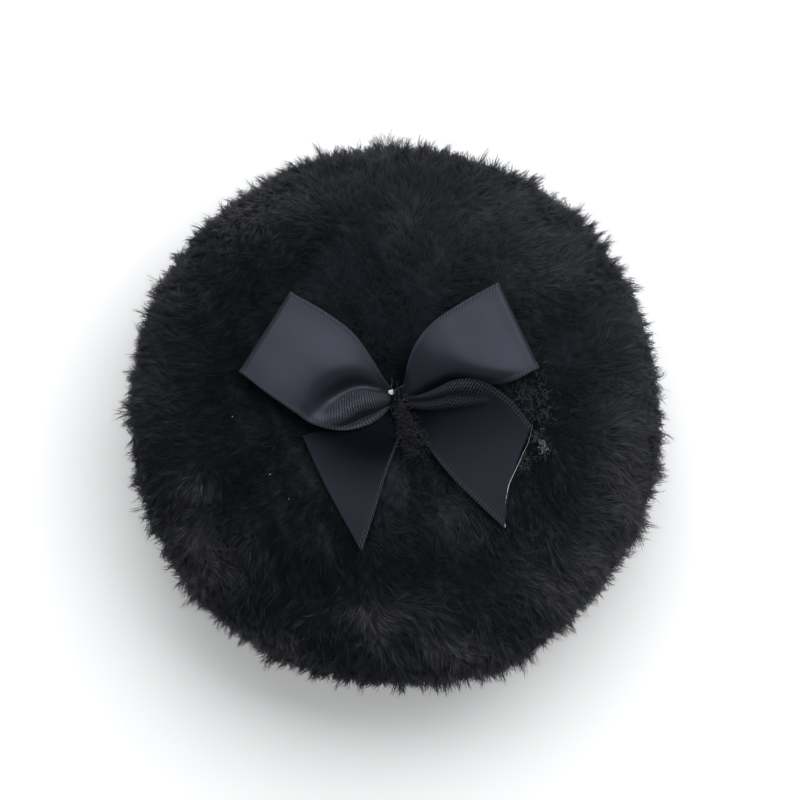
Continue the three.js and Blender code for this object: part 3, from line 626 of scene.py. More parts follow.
RIGHT_TAIL = dict(
    upper=[
        (0.4, 0.2), (2.8, 0.1), (5.5, 0.9), (9.7, 2.8), (13.8, 2.9), (16.0, 1.7), (18.9, -0.5), (22.3, -4.7),
    ],
    lower=[(0.6, -1.2), (1.7, -2.6), (3.5, -5.8), (5.5, -8.8), (8.8, -13.0), (13.8, -18.0), (17.8, -21.7)],
    rails=[
        [0.5, 2.2, 3.4, 3.9, 3.9, 3.4, 2.8],
        [0.3, 1.7, 3.0, 3.4, 3.4, 3.0, 2.6],
        [0.1, 1.5, 2.8, 3.2, 3.1, 2.7, 2.2],
    ],
    folds=[
        ([(0.9, -0.3), (5.0, 0.2), (9.6, 1.7), (13.4, 1.9), (16.4, 0.6)],
         [0.2, 0.7, 1.0, 0.7, 0.1], [0.5, 0.7, 0.9, 1.0, 0.8]),
        ([(1.0, -0.8), (5.0, -0.7), (9.2, 0.2), (12.8, 0.4), (15.6, 0.0)],
         [-0.2, -0.5, -0.6, -0.4, -0.1], [0.35, 0.4, 0.5, 0.5, 0.5]),
        ([(1.2, -1.3), (5.0, -1.5), (8.6, -1.0), (12.2, -0.8), (15.4, -0.7)],
         [0.2, 0.6, 0.9, 0.8, 0.1], [0.4, 0.6, 0.8, 0.8, 0.7]),
    ],
    ribbed=[
        ([(0.8, -0.5), (5.0, 0.1), (9.6, 1.5), (13.4, 1.7), (17.2, 0.2)],
         [0.9, 1.0, 1.0, 0.8, 0.1], [0.9, 1.1, 1.3, 1.2, 0.7]),
        ([(1.4, -1.2), (5.0, -1.4), (8.6, -0.9), (12.2, -0.6), (14.6, -0.3)],
         [0.8, 0.8, 0.7, 0.5, 0.1], [0.5, 0.7, 0.9, 0.8, 0.5]),
    ],
    lip=(0.1, 1.1),
    cut=1.1,
    shade=(0.75, 0.45),
    beads=0.8,
)

LEFT_TAIL = dict(
    upper=[(-0.3, -0.9), (0.1, -3.5), (0.5, -6.4), (-0.4, -9.2), (-1.6, -12.4), (-3.3, -18.0), (-5.8, -25.7)],
    lower=[(-0.9, -0.9), (-4.6, -2.4), (-9.6, -4.4), (-13.0, -5.6), (-15.6, -6.4)],
    rails=[
        [-0.8, 1.6, 2.1, 2.4, 2.8, 3.0, 2.7],
        [-0.8, 1.3, 2.1, 2.5, 2.9, 3.1, 2.8],
        [-0.8, 0.9, 1.9, 2.6, 3.0, 3.2, 3.2],
    ],
    folds=[],
    ribbed=[],
    lip=(2.0, 3.0),
    cut=-0.4,
    shade=(1.3, -0.6),
    beads=1.35,
)


def beside_line(plan, line, amounts, widths):
    """Each plan point's distance to a smooth line, and the line's amount and half width beside it."""
    dense = spline(line, 160)
    gap = np.linalg.norm(plan.reshape(-1, 1, 2) - dense[None], axis=2)
    share = (gap.argmin(axis=1) / (len(dense) - 1)).reshape(plan.shape[:2])
    return gap.min(axis=1).reshape(plan.shape[:2]), through(amounts, share), through(widths, share)


def softly_above(z, floor):
    """The larger of two heights, with a soft change from one to the other."""
    blend = 0.5
    h = np.clip(0.5 + 0.5 * (z - floor) / blend, 0, 1)
    return floor + (z - floor) * h + blend * h * (1 - h) * 0.5


def leaf_plan(leaf, along, across):
    """Plan points between a leaf's two edges, with its cut end hollowed."""
    upper = spline(leaf["upper"], len(along))
    lower = spline(leaf["lower"], len(along))
    plan = upper[:, None] * (1 - across[None, :, None]) + lower[:, None] * across[None, :, None]
    if "cut" not in leaf:
        return plan
    back = unit(plan[-1] - plan[-6])
    hollow = leaf["cut"] * np.sin(math.pi * across**1.15)[None, :, None]
    return plan - hollow * smoothstep(along, 0.6, 1)[:, None, None] * back[None]


def leaf_rows(leaf, rows, rails, rest, folded=True):
    """Rows of points across a leaf that rests on the plush, and each point's share along and across it."""
    along = np.linspace(0, 1, rows)
    across = np.linspace(0, 1, LEAF_COLUMNS)
    plan = leaf_plan(leaf, along, across)
    heights = np.stack([through(rail, along) for rail in rails], axis=1)
    z = np.stack([through(row, across) for row in heights])
    for fold in leaf["folds"] if folded else ():
        gap, depth, width = beside_line(plan, *fold)
        z = z + depth * np.exp(-((gap / width) ** 2))
    z = softly_above(z, crown_height(plan) + rest)
    return np.dstack([plan, z]), np.repeat(along[:, None], LEAF_COLUMNS, 1), np.repeat(across[None], rows, 0)


def band_share(leaf, plan, along, across, folded=True):
    """How much of a point lies in a selvedge band or in a ribbed place."""
    edge = 1 - smoothstep(across, SELVEDGE * 0.7, SELVEDGE)
    start, end = leaf["lip"]
    if start <= 1:
        shown = smoothstep(along, start - 0.05, start + 0.05)
        shown = shown * (1 - smoothstep(along, end - 0.1, end + 0.1) * 0.45)
        edge = np.maximum(edge, shown * smoothstep(across, 1 - SELVEDGE, 1 - SELVEDGE * 0.7))
    edge = SELVEDGE_TONE * edge
    for place in leaf["ribbed"] if folded else ():
        gap, amount, width = beside_line(plan, *place)
        edge = np.maximum(edge, amount * (1 - smoothstep(gap, width * 0.75, width * 1.15)))
    return edge


def both_faces(values):
    """Values over a strip's upper face and back along its lower one."""
    return np.concatenate([values, values[:, ::-1]], axis=1)


def ribbon_object(name, grid, across, band, material, painted_shade):
    """A closed strip of the ribbon's thickness about rows of points, with its own coordinates."""
    rows, columns = grid.shape[:2]
    normal = unit(np.cross(np.gradient(grid, axis=0), np.gradient(grid, axis=1)))
    half = RIBBON_THICKNESS / 2
    ring = np.concatenate([grid + normal * half, (grid - normal * half)[:, ::-1]], axis=1) + KNOT
    count = 2 * columns
    loops = grid_loops(rows, count)
    j = np.arange(columns - 1)
    end = np.stack([j, j + 1, count - 2 - j, count - 1 - j], axis=1)
    loops = np.concatenate([loops, end[:, ::-1].ravel(), end.ravel() + (rows - 1) * count])
    made = mesh_object(name, ring.reshape(-1, 3), loops, np.arange(len(loops) // 4) * 4, material)
    steps = np.linalg.norm(np.diff(grid, axis=0), axis=2).mean(axis=1)
    run = running_total(steps) / RIBBON_WIDTH
    v = np.repeat(run[:, None], count, 1)
    add_uv(made, "ribbon", np.stack([both_faces(across), v], axis=-1).reshape(-1, 2)[loops])
    add_value(made, "band", both_faces(band))
    add_value(made, "painted_shade", both_faces(painted_shade))
    return made


def loop_grid(leaf):
    """Rows of points along a loop's upper layer, round its fold and back along its under layer."""
    top, along, across = leaf_rows(leaf, LOOP_ROWS, leaf["rails"], rest=LOOP_REST)
    under = leaf_rows(leaf, LOOP_ROWS, [leaf["under_rail"]] * 3, rest=LEAF_REST, folded=False)[0]
    under[:, :, 2] = np.minimum(under[:, :, 2], top[:, :, 2] - LAYER_GAP)
    plan = top[:, :, :2].copy()
    out = unit((top[-1].mean(axis=0) - top[-8].mean(axis=0)) * [1, 1, 0])
    radius = (top[-1, :, 2] - under[-1, :, 2]) / 2
    reach = 0.85 * radius.mean()
    back = reach * np.linspace(0, 1, LOOP_ROWS) ** 2
    for layer in (top, under):
        layer[:, :, :2] -= back[:, None, None] * out[:2]
    middle = (top[-1] + under[-1]) / 2
    turns = np.linspace(0, math.pi, FOLD_TURNS)[1:-1]
    fold = [middle + out * reach * math.sin(t) + UP * (radius * math.cos(t))[:, None] for t in turns]
    grid = np.concatenate([top, np.array(fold), under[::-1]])
    band = band_share(leaf, plan, along, across)
    under_band = band_share(leaf, plan, along, across, folded=False)[::-1]
    band = np.concatenate([band, np.repeat(band[-1:], len(fold), 0), under_band])
    return grid, np.repeat(across[:1], len(grid), 0), band


def make_loop(name, leaf, body):
    """A folded loop on the left or the right of the knot."""
    grid, across, band = loop_grid(leaf)
    # The loops carry no painted shade.
    made = ribbon_object(name, grid, across, band, SATIN, 0 * band)
    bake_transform(made)
    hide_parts("bow_" + body)
    return made


def make_tail(name, leaf, body):
    """A free end of the ribbon, cut slanting."""
    grid, along, across = leaf_rows(leaf, TAIL_ROWS, leaf["rails"], rest=LEAF_REST)
    band = np.clip(leaf["beads"] * band_share(leaf, grid[:, :, :2], along, across), 0, 1)
    # Painted shade: darkest near the knot and toward the edge that lies in shadow, lighter toward the tail's
    # far end.
    painted_shade = 1 - smoothstep(leaf["shade"][0] * along + leaf["shade"][1] * across, 0.3, 1.0)
    made = ribbon_object(name, grid, across, band, TAIL_SATIN, painted_shade)
    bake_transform(made)
    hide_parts("bow_" + body)
    return made


def make_gather():
    """The cinched middle of the ribbon, pleated along its length."""
    stations, sides, pleats = 40, 112, 9
    half_length = 3.0
    half_width, half_height = 1.4, 1.0
    x = np.linspace(-half_length, half_length, stations)[:, None]
    angle = once_around(sides)[None]
    pleat = 1 + 0.1 * np.cos(pleats * angle + 0.5 * x) + 0.04 * np.cos(2 * pleats * angle + 1.3)
    squeeze = 1 - 0.16 * np.exp(-((x / 1.3) ** 2))
    flare = (x / half_length) ** 2
    y = (half_width + 0.35 * flare) * squeeze * pleat * np.cos(angle)
    z = (half_height + 0.25 * flare) * squeeze * pleat * np.sin(angle)
    x = np.repeat(x, sides, axis=1) + 0.15 * np.cos(pleats * angle)
    grid = np.dstack([x, y, z]) + KNOT
    made = grid_object("ribbon_gather", grid, SATIN)
    corner = np.empty(len(made.data.loops), np.int32)
    made.data.loops.foreach_get("vertex_index", corner)
    u = 0.5 + 0.3 * np.cos(np.repeat(angle, stations, 0))
    uv = np.stack([u, (grid[:, :, 0] - KNOT[0]) / RIBBON_WIDTH], axis=-1)
    add_uv(made, "ribbon", uv.reshape(-1, 2)[corner])
    add_value(made, "band", np.full(stations * sides, 0.3))
    # The gather is painted fully in shade.
    add_value(made, "painted_shade", np.full(stations * sides, 1.0))
    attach(made, "bow")
    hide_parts("bow_gather")
    return made


# The room under the bow

# Its map: how far it reaches from the knot, its step, how many turns are tried, how much it rises at
# each step of its widening, and how far the pile and the lint keep under it.
CEILING_REACH = 34.0
CEILING_STEP = 0.5
CEILING_TURNS = 9
CEILING_RISES = [0] * 2 + [0.3] * 7
PILE_SPARE = 0.4
LINT_SPARE = 0.2


def lowest_over(grid, made, turns):
    """How low a piece of the bow comes over each place of a map, at any of its turns."""
    points = np.empty(len(made.data.vertices) * 3)
    made.data.vertices.foreach_get("co", points)
    points = points.reshape(-1, 3) / MM - KNOT
    tree = BVHTree.FromPolygons([tuple(p) for p in points], [tuple(p.vertices) for p in made.data.polygons])
    low, high = points[:, :2].min(0), points[:, :2].max(0)
    lowest = np.full(grid.shape[:2], np.inf)
    up = Vector(UP)
    for turn in turns:
        c, s = math.cos(turn), math.sin(turn)
        turned = grid @ np.array([[c, -s], [s, c]])
        for i, j in np.argwhere(((turned > low) & (turned < high)).all(axis=2)):
            hit = tree.ray_cast(Vector((*turned[i, j], -KNOT[2] / 2)), up)
            if hit[0] is not None:
                lowest[i, j] = min(lowest[i, j], hit[0].z)
    return lowest


def bow_ceiling(bow):
    """A map of how low the bow comes anywhere it can turn to, a little widened. The pile stays under it."""
    places = np.arange(-CEILING_REACH, CEILING_REACH + CEILING_STEP, CEILING_STEP)
    grid = np.stack(np.meshgrid(places, places, indexing="ij"), axis=-1)
    turns = [math.radians(t) for t in np.linspace(-BOW_TURN, BOW_TURN, CEILING_TURNS)]
    lowest = np.min([lowest_over(grid, made, turns) for made in bow], axis=0)
    for rise in CEILING_RISES:
        for axis in (0, 1):
            for shift in (-1, 1):
                lowest = np.minimum(lowest, np.roll(lowest, shift, axis) + rise)
    return lowest


def press_under(paths, spare=PILE_SPARE):
    """Lowers the points of paths that would come too near the bow's underside."""
    flat = paths.reshape(-1, 3) - KNOT
    cell = np.rint((flat[:, :2] + CEILING_REACH) / CEILING_STEP).astype(int)
    near = ((cell >= 0) & (cell < len(CEILING))).all(axis=1)
    cell = np.clip(cell, 0, len(CEILING) - 1)
    limit = np.where(near, CEILING[cell[:, 0], cell[:, 1]], np.inf) - spare
    flat[:, 2] = np.minimum(flat[:, 2], limit)
    return (flat + KNOT).reshape(paths.shape)


# The pile

# Patches of painted light on the pile: lighter ones paint the sheen of pile that lies over and lift the side
# turned from the lamp, darker ones paint shade, mostly around the bow. Each is a place in millimetres, reach
# across and up, and how much lighter (or darker) it makes the pile look.
PAINTED_LIGHT_PATCHES = [
    (-21.7, 35.6, 9, 4.0, 0.8), (-6, 41.5, 8, 4, 0.24), (6, 42, 7, 3.5, 0.1), (1, 31, 3, 5, 0.18),
    (17, 34, 9, 5, 0.3), (26, 27, 8, 8, 0.3), (38, 18, 5, 7, 0.26), (9, 26, 7, 4, 0.08),
    (40, 2, 6, 9, 0.5), (39, -14, 6, 9, 0.68), (32, -29, 9, 7, 0.95), (21, -21, 6, 5, 0.18),
    (9, -17, 4.5, 4, 0.24), (-4, -34, 5.5, 4, 0.52), (9, -38, 8, 5, 0.56), (-33.5, -17, 4, 8, 0.44),
    (-29, -24, 7, 5, 0.38), (-20, -38, 7, 4, 0.34), (-37, 21, 5, 7, 0.2), (-40, 3, 5, 8, 0.22),
    (-30, 29, 5, 5, 0.16), (-12, 24, 8, 9, -0.08), (-26, 10, 7, 14, -0.06), (1, -26, 13, 4, -0.06),
    (-15, -15, 4, 6, -0.06), (29, 13, 6, 5, -0.07), (2, 16, 9, 9, -0.09), (-12, -38, 4, 3, -0.1),
]
BASE_SHADE = 0.095

# Places around the rim where the pile stands out further (or less): direction, reach in degrees, amount.
RIM_SWELLS = [(12, 22, -0.9), (47, 14, 0.4), (110, 30, 0.2), (182, 26, -0.8), (235, 30, 0.3), (292, 17, 1.4)]
RIM_START, RIM_FULL = 38, 44

# The pile's layers: a dense even ground and looser wisps, whose higher tone paints them lighter as sheen.
# Their strands grow in bunches, which draw closer by the share close, and above, at_rim and jut say how far
# they stand out.
GROUND = dict(
    seed=100, spacing=0.43, strands=3, steps=2, sparse=False, lean=2.4, above=0.1, at_rim=-0.35, jut=0.1,
    bunch=0.4, clumped=0.7, close=(0.0, 0.35), wander=0.35, bend=0.0, tone=0.95, spread=0.07, shortest=0.78,
    radii=(0.085, 0.085),
)
WISPS = dict(
    seed=200, spacing=0.66, strands=6, steps=4, sparse=True, lean=2.9, above=0.3, at_rim=0.1, jut=0.45,
    bunch=0.42, clumped=1.0, close=(0.1, 0.9), wander=0.28, bend=0.7, tone=1.3, spread=0.26, shortest=0.75,
    radii=(0.045, 0.028),
)

# The clumps that the pile gathers into at the rim: their spacing, mean and longest reach, and radius.
CLUMP_SPACING = 1.9
CLUMP_REACH = 1.55
CLUMP_LIMIT = 3.2
CLUMP_RADIUS = 0.62 * CLUMP_SPACING

MASS_DEPTH = 0.85
MASS_RIM_DEPTH = 0.7
MASS_GRID = ((480, 125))
CALM_RUN = 3
ROOT_DEPTH = 1.7
THINNING = 1.0
LOWEST_MASS = 0.3
LOWEST_FIBRE = 0.12
MAX_FACES = 170000

# The inner face of each panel, from the seam allowance to the middle: radius, and height from the seam.
TOP_INSIDE = [
    (ALLOWANCE_INNER, 0), (ALLOWANCE_INNER, 1), (ALLOWANCE_OUTER, 1), (36.0, 1.9), (33.0, 4.5),
    (25.0, 5.9), (12.0, 4.5), (4.0, 1.6), (0.7, 0.6),
]
BOTTOM_INSIDE = [
    (ALLOWANCE_INNER, 0), (ALLOWANCE_INNER, -1), (ALLOWANCE_OUTER, -1), (36.0, -1.9), (34.5, -4.2),
    (30.0, -5.3), (1.0, -5.35),
]


class Panel:
    """A panel of the puff, with places and normals at a run along its outer profile and an angle."""

    def __init__(self, node, profile, seam, inside, seed, is_foot):
        self.node, self.seam, self.inside = node, seam, inside
        self.seed, self.is_foot = seed, is_foot
        r, z = profile
        keep = np.concatenate([[True], np.hypot(np.diff(r), np.diff(z)) > 1e-6])
        self.r, self.z = r[keep], z[keep]
        self.run = running_total(np.hypot(np.diff(self.r), np.diff(self.z)))
        dr, dz = np.gradient(self.r, self.run), np.gradient(self.z, self.run)
        length = np.hypot(dr, dz)
        self.dr, self.dz = dr / length, dz / length

    def at(self, run, angle):
        """Places, normals, and the ways along the profile away from its middle."""
        r, z, dr, dz = (np.interp(run, self.run, v)[..., None] for v in (self.r, self.z, self.dr, self.dz))
        radial = np.stack([np.cos(angle), np.sin(angle), np.zeros_like(angle)], axis=-1)
        place = radial * r + UP * z
        outward = radial * dr + UP * dz
        normal = radial * -dz + UP * dr
        if self.is_foot:
            normal = -normal
        else:
            place[..., :2] += tuft_pull(r) * TUFT
        return place, unit(normal), outward

    def scatter(self, spacing, rng):
        """Runs and angles of places spread evenly over the face."""
        runs, angles = [], []
        steps = max(int(self.run[-1] / spacing), 2)
        for middle in (np.arange(steps) + 0.5) * self.run[-1] / steps:
            radius = np.interp(middle, self.run, self.r)
            count = max(int(round(2 * math.pi * radius / spacing)), 3)
            angle = (np.arange(count) + rng.uniform()) * 2 * math.pi / count
            angle += rng.uniform(-0.42, 0.42, count) * spacing / max(radius, spacing)
            runs.append(middle + rng.uniform(-0.42, 0.42, count) * spacing)
            angles.append(angle)
        return np.clip(np.concatenate(runs), 0, self.run[-1]), np.concatenate(angles)


def radius_of(place):
    return np.hypot(place[..., 0], place[..., 1])


def angle_of(place):
    return np.arctan2(place[..., 1], place[..., 0])


def rim_share(place):
    """0 on the crown and the foot, 1 out at the rim."""
    return smoothstep(radius_of(place), RIM_START, RIM_FULL)


def toward(angle, direction, reach):
    """1 at a direction around the puff, falling off over a reach, both in degrees."""
    off = (np.degrees(angle) - direction + 180) % 360 - 180
    return np.exp(-((off / reach) ** 2))


def painted_light_of_patches(place):
    total = np.zeros(len(place))
    for x, y, wide, high, amount in PAINTED_LIGHT_PATCHES:
        total += amount * np.exp(-(((place[:, 0] - x) / wide) ** 2) - ((place[:, 1] - y) / high) ** 2)
    return total


def shade_at(place, is_foot):
    """How light the pile is painted at each place, from 0 to about 1: painted light growing toward the rim,
    the painted sheen and shade of the patches, and a little uneven tone.
    """
    radius = radius_of(place)
    shade = BASE_SHADE + 0.07 * smoothstep(radius, 26, 42) + 0.26 * smoothstep(radius, 41.5, 45)
    shade = shade + 0.03 * waves(61, 9.0, place) + 0.025 * waves(62, 3.5, place)
    if not is_foot:
        # The patches' painted sheen and painted shade.
        light = painted_light_of_patches(place)
        uneven = 1 + 0.45 * waves(63, 7.0, place) + 0.3 * waves(64, 2.6, place)
        shade = shade + np.where(light > 0, light * np.clip(uneven, 0.1, 2), light)
    return np.clip(shade, 0.03, 1)


def swell_of(place, seed):
    """The slow ups and downs of the pile."""
    return 0.3 * waves(seed + 4, 5.0, place) + 0.35 * waves(seed + 5, 16.0, place)


def lay_of(place, outward, sideways, rng, seed):
    """The way the pile lies at each place."""
    angle = angle_of(place)
    swirl = 0.75 * waves(seed + 1, 34.0, place) + 0.6 * waves(seed + 2, 10.0, place)
    swirl = swirl + 1.1 * toward(angle, 155, 50) - 0.9 * toward(angle, 55, 32) - 0.1
    swirl = swirl + rng.normal(0, 0.4, len(place)) * (1 + rim_share(place))
    return outward * np.cos(swirl)[:, None] + sideways * np.sin(swirl)[:, None]


def pile_height(place, light, level, rim, rng, panel):
    """How far the pile stands out past the panel's outline at each place."""
    seed = panel.seed
    tall = 0.3 + swell_of(place, seed) + 0.7 * light
    swells = sum(amount * toward(angle_of(place), *where) for *where, amount in RIM_SWELLS)
    uneven = 0.5 * waves(seed + 6, 7.0, place) + 0.35 * waves(seed + 8, 2.6, place)
    tall = tall * (1 - 0.6 * rim) + rng.normal(0, 0.12, len(place)) + rim * (swells + uneven - 1.4)
    if panel.is_foot:
        tall = np.where(level > 0.95, -0.1 + rng.normal(0, 0.08, len(place)), tall - 0.5 * rim)
    return tall


def gathered(panel, place, rim):
    """Pull of each place toward the middle of its clump, and how much further the clump stands out there."""
    rng = np.random.default_rng(panel.seed + 300)
    middles = panel.at(*panel.scatter(CLUMP_SPACING, rng))[0]
    reach = np.minimum(rng.exponential(CLUMP_REACH, len(middles)), CLUMP_LIMIT)
    tree = KDTree(len(middles))
    for index, middle in enumerate(middles):
        tree.insert(middle, index)
    tree.balance()
    pull = np.zeros_like(place)
    further = np.zeros(len(place))
    for i in np.where(rim > 0.02)[0]:
        middle, index, gap = tree.find(place[i])
        pull[i] = np.array(middle) - place[i]
        further[i] = reach[index] * max(0.0, 1 - gap / CLUMP_RADIUS)
    return pull * rim[:, None], further * rim


def pile_paths(panel, layer):
    """Paths, tones and angles of the fibres of one layer of the pile."""
    seed = panel.seed
    rng = np.random.default_rng(seed + layer["seed"])
    place, normal, outward = panel.at(*panel.scatter(layer["spacing"], rng))
    shade = shade_at(place, panel.is_foot)
    rim = rim_share(place)
    if layer["sparse"]:
        chance = 0.14 + 1.8 * (shade - BASE_SHADE) + 0.15 * waves(seed + 7, 8.0, place)
        keep = rng.uniform(size=len(place)) < np.maximum(np.maximum(chance, 0.06), rim)
        place, normal, outward, shade, rim = (v[keep] for v in (place, normal, outward, shade, rim))
    count = len(place)
    sideways = np.cross(normal, outward)
    lay = lay_of(place, outward, sideways, rng, seed)
    lean = layer["lean"] * (1 + 0.25 * waves(seed + 3, 12.0, place) + rng.normal(0, 0.15, count))
    lean = np.clip(lean, 0.8, 7) * (1 - 0.55 * rim)
    tall = pile_height(place, shade - BASE_SHADE, np.abs(normal[:, 2]), rim, rng, panel)
    tall = tall + layer["above"] * (1 - rim) + layer["at_rim"] * rim
    pull, further = gathered(panel, place, rim)
    tall = tall + layer["clumped"] * further

    # From here on there is one row for each fibre, and pick says which place it grows at.
    pick = np.repeat(np.arange(count), layer["strands"])
    number = len(pick)
    around = rng.uniform(0, 2 * math.pi, number)
    off = layer["bunch"] * np.sqrt(rng.uniform(0, 1, number))
    offset = outward[pick] * (off * np.cos(around))[:, None]
    offset = offset + sideways[pick] * (off * np.sin(around))[:, None]
    root = place[pick] - normal[pick] * ROOT_DEPTH + offset
    jut = np.minimum(rng.exponential(layer["jut"], count), 2.5)
    tips = rng.uniform(layer["shortest"], 1.02, number)
    high = (ROOT_DEPTH + tall + rim * jut)[pick] * tips
    high = high + (rng.uniform(size=number) < 0.03) * rng.uniform(0.2, 1.0, number)
    side = lean[pick] * rng.uniform(0.8, 1.2, number)
    close = rng.uniform(*layer["close"], number)
    wander = rng.normal(0, layer["wander"], (number, 3))
    bend = layer["bend"]
    paths = []
    for v in np.linspace(0, 1, layer["steps"]):
        p = root - offset * (close * v)[:, None] + normal[pick] * (high * (v * (1 + bend * (1 - v))))[:, None]
        p = p + lay[pick] * (side * v ** (1 + bend))[:, None] + wander * v
        paths.append(p + pull[pick] * (layer["clumped"] * 0.8 * v))
    tone = shade[pick] * layer["tone"] * np.exp(rng.normal(0, layer["spread"], count))[pick]
    tone = tone * np.exp(rng.normal(0, layer["spread"] * 0.6, number))
    return np.stack(paths, axis=1), np.clip(tone, 0.02, 1.5), angle_of(root)


def make_mass(name, panel):
    """The dense mass of a panel's pile on its ground: a closed shell with the seam allowance turned in."""
    turns, runs = MASS_GRID
    angle = once_around(turns)
    run = np.linspace(0, panel.run[-1], runs)
    grid_run, grid_angle = np.meshgrid(run, angle, indexing="ij")
    place, normal, _ = panel.at(grid_run, grid_angle)
    flat = place.reshape(-1, 3)
    lumps = 0.8 * swell_of(flat, panel.seed) + 0.14 * waves(32, 1.9, flat)
    calm = 1 - smoothstep(grid_run, panel.run[-1] - CALM_RUN, panel.run[-1])
    depth = MASS_DEPTH + MASS_RIM_DEPTH * rim_share(place) - calm * lumps.reshape(place.shape[:2])
    outer = place - normal * depth[..., None]
    outer[0] = outer[0].mean(axis=0)
    if not panel.is_foot:
        outer = press_under(outer)
    outer[..., 2] = np.maximum(outer[..., 2], LOWEST_MASS)
    radial = np.stack([np.cos(angle), np.sin(angle), np.zeros(turns)], axis=-1)
    inner = [radial * radius + UP * (panel.seam + rise) for radius, rise in panel.inside]
    grid = np.concatenate([outer, np.array(inner)])
    made = grid_object(name, grid, PILE)
    points = grid.reshape(-1, 3)
    # Painted shade: the mass under the fibres gets a lower tone than they do, and lower still toward the
    # side.
    side = smoothstep(radius_of(points), 40, RIM_FULL)
    add_value(made, "tone", (0.7 - 0.3 * side) * shade_at(points, panel.is_foot))
    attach(made, "puff")
    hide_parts(panel.node)


def make_pile(name, panel, layer, wider=1.0):
    """One layer of a panel's pile, as meshes side by side around the puff."""
    layer = dict(layer, spacing=layer["spacing"] * wider * THINNING)
    paths, tone, angle = pile_paths(panel, layer)
    if not panel.is_foot:
        paths = press_under(paths)
    paths[..., 2] = np.maximum(paths[..., 2], LOWEST_FIBRE)
    steps = layer["steps"]
    radii = np.linspace(*layer["radii"], steps)
    parts = math.ceil(len(paths) * (6 * (steps - 2) + 4) / MAX_FACES)
    order = np.argsort(angle % (2 * math.pi))
    for part, chosen in enumerate(np.array_split(order, parts)):
        seed = panel.seed + part
        made = fibres(f"{name}_{part + 1}", paths[chosen], radii, PILE, tone[chosen], seed=seed)
        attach(made, "puff")


# Threads and fuzz, with places in millimetres from the middle of the gather

SHOWN_NODES = dict(
    filling_pad=WADDING,
    rim_seam_thread=BLACK_THREAD,
    closing_stitches=BLACK_THREAD,
    bow_tie_thread=BLACK_THREAD,
    bow_anchor_thread=BLACK_THREAD,
)
NUB = np.array([-0.95, 0.79, 2.59])
NUB_RADIUS = 0.45
END_RISES = [
    [(0, 0, 0), (-0.05, 0.8, 0.5), (0.1, 1.8, 0.8), (0.2, 2.5, 0.8)],
    [(0, 0, 0), (0.8, 0.3, 0.5), (1.6, 0.8, 0.9), (2.4, 1.3, 1.0)],
]


def dress_shown_nodes():
    for name, material in SHOWN_NODES.items():
        for slot in frame["nodes"][name].material_slots:
            slot.material = material


def wavy(points, count, rng, sway):
    """A smooth path through points that wanders a little."""
    path = spline(points, count)
    drift = np.cumsum(rng.normal(0, sway, path.shape), axis=0)
    drift -= np.linspace(0, 1, count)[:, None] * drift[-1] * 0.5
    return path + drift


def make_nub():
    """The pale lumpy nub of the tie thread's knot."""
    turn = np.linspace(0.02, math.pi - 0.02, 14)[:, None]
    angle = once_around(20)[None]
    swell = NUB_RADIUS * (1 + 0.1 * np.cos(3 * angle + 2 * turn) + 0.05 * np.cos(5 * angle))
    out = swell * np.sin(turn)
    grid = np.dstack([out * np.cos(angle), out * np.sin(angle), -swell * np.cos(turn)]) + NUB + KNOT
    made = grid_object("knot_nub", grid, PALE_THREAD)
    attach(made, "bow")
    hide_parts("bow_tie_knot")


def make_thread_ends():
    """The two cut ends of the tie thread, which rise from its knot."""
    rng = np.random.default_rng(3)
    steps = 16
    ends = np.array([wavy(NUB + np.array(rises), steps, rng, 0.02) for rises in END_RISES]) + KNOT
    made = fibres("knot_thread_ends", ends, np.linspace(0.1, 0.06, steps), GREY_THREAD, sides=6)
    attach(made, "bow")


def curls(places, length, sway, rng, steps=9):
    """Thin crooked hairs that start at given places."""
    count = len(places)
    heading = unit(rng.normal(size=(count, 3)) * [1, 1, 0.3])
    paths = [places]
    for _ in range(steps - 1):
        heading = unit(heading + rng.normal(0, sway, (count, 3)) * [1, 1, 0.4])
        paths.append(paths[-1] + heading * (length * rng.uniform(0.6, 1.3, (count, 1)) / steps))
    return np.stack(paths, axis=1) + KNOT


def strewn(line, widths, count, rng):
    """Random places about a line, with a spread that changes along it."""
    share = rng.uniform(0, 1, count)
    dense = spline(line, 100)
    middle = dense[(share * (len(dense) - 1)).astype(int)]
    return middle + rng.normal(size=(count, 3)) * [1, 1, 0.35] * through(widths, share)[:, None]


def make_hairs(name, body, paths, tone, radius, material):
    """Thin hairs along paths, finer toward their tips."""
    made = fibres(name, paths, np.linspace(radius, radius * 0.6, paths.shape[1]), material, tone)
    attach(made, body)


def make_knot_fluff():
    """Dark fluff of thread ends that hangs below the knot."""
    rng = np.random.default_rng(19)
    line = [(0.1, -1.0, 1.7), (0.9, -3.0, 2.3), (2.0, -5.6, 3.1), (3.6, -8.8, 3.8)]
    fluff = strewn(line, [0.3, 0.65, 1.1, 1.4], 520, rng)
    tone = rng.uniform(0.0, 0.028, len(fluff))
    tone[-60:] = rng.uniform(0.03, 0.09, 60)
    make_hairs("knot_fluff", "bow", curls(fluff, 1.9, 0.8, rng), tone, 0.04, FUZZ)


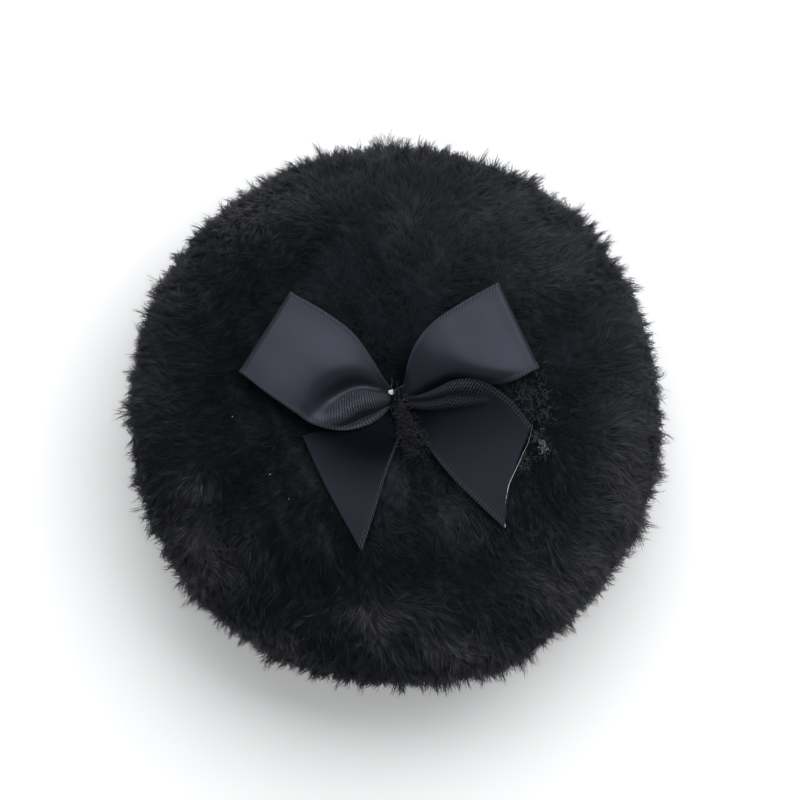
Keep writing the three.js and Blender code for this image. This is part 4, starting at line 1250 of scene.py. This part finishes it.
def make_lint():
    """Short bits of pile and lint that lie on the plush beside the right tail."""
    rng = np.random.default_rng(23)
    strips = [
        ([(19.6, 3.6, 4.2), (21.6, 2.2, 3.8), (22.8, -0.6, 3.2), (23.6, -4.4, 3.2)],
         [1.3, 1.9, 1.9, 1.2], 190),
        ([(22.8, -6.0, 3.3), (24.0, -8.2, 3.3), (25.2, -9.6, 3.1)], [0.5, 0.7, 0.8], 60),
        ([(21.6, -9.6, 3.0), (20.4, -12.4, 2.9)], [0.7, 0.8], 40),
    ]
    places = np.concatenate([strewn(*strip, rng) for strip in strips])
    tone = rng.uniform(0.2, 1.1, len(places))
    paths = press_under(curls(places, 1.5, 0.45, rng, steps=6), spare=LINT_SPARE)
    make_hairs("lint_by_the_tail", "puff", paths, tone, 0.06, PILE)
    bright = strewn([(23.9, -7.9, 3.5), (24.6, -8.9, 3.5)], [0.35, 0.45], 30, rng)
    paths = press_under(curls(bright, 1.1, 0.5, rng, steps=6), spare=LINT_SPARE)
    tone = rng.uniform(0.05, 0.6, len(bright))
    make_hairs("bright_lint", "puff", paths, tone, 0.06, FUZZ)


def make_strays():
    """Single hairs and specks on the plush."""
    rng = np.random.default_rng(29)
    plan = np.array([(6.2, -34.6), (9.0, -35.4), (-15.6, -36.4), (-9.4, -31.4), (24.0, 8.4)])
    places = np.column_stack([plan, crown_height(plan) + 0.9])
    paths = press_under(curls(places, 4.0, 0.16, rng), spare=LINT_SPARE)
    make_hairs("stray_hairs", "puff", paths, [0.12, 0.12, 0.12, 0.12, 0.08], 0.04, FUZZ)
    places = np.array([(-27.2, -3.2, 2.6), (-20.8, -12.8, 3.0), (-17.9, -17.0, 3.0)])
    paths = curls(places, 0.35, 0.8, rng)
    make_hairs("lint_specks", "puff", paths, [0.9, 0.9, 0.3], 0.1, FUZZ)


def make_filament():
    """The pale frayed edge of the right tail's cut end."""
    rng = np.random.default_rng(8)
    line = [
        (22.4, -4.6, 2.95), (21.9, -7.0, 2.95), (20.6, -9.8, 3.0), (19.6, -12.0, 3.0),
        (18.5, -14.4, 2.9), (17.9, -17.4, 2.75), (17.7, -20.6, 2.5), (17.9, -21.7, 2.4),
    ]
    steps = 60
    radii = np.linspace(0.03, 0.09, steps)
    radii[-5:] = 0.12
    path = wavy(line, steps, rng, 0.012)[None] + KNOT
    made = fibres("cut_edge_filament", path, radii, FUZZ, [1.2], sides=6, foot_tone=0.15)
    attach(made, "tail_right")


# The whole scene

make_stage()
BOW = [
    make_loop("ribbon_loop_left", LEFT_LOOP, "loop_left"),
    make_loop("ribbon_loop_right", RIGHT_LOOP, "loop_right"),
    make_tail("ribbon_tail_right", RIGHT_TAIL, "tail_right"),
    make_tail("ribbon_tail_left", LEFT_TAIL, "tail_left"),
    make_gather(),
]
CEILING = bow_ceiling(BOW)
TOP = Panel("top_plush_panel", top_profile(), TOP_SEAM, TOP_INSIDE, seed=11, is_foot=False)
BOTTOM = Panel("bottom_plush_panel", bottom_profile(), BOTTOM_SEAM, BOTTOM_INSIDE, seed=47, is_foot=True)
make_mass("plush_mass_top", TOP)
make_mass("plush_mass_bottom", BOTTOM)
make_pile("pile_ground_top", TOP, GROUND)
make_pile("pile_wisps_top", TOP, WISPS)
make_pile("pile_ground_bottom", BOTTOM, GROUND, wider=1.15)
make_pile("pile_wisps_bottom", BOTTOM, WISPS, wider=1.2)
dress_shown_nodes()
make_nub()
make_thread_ends()
make_knot_fluff()
make_lint()
make_strays()
make_filament()
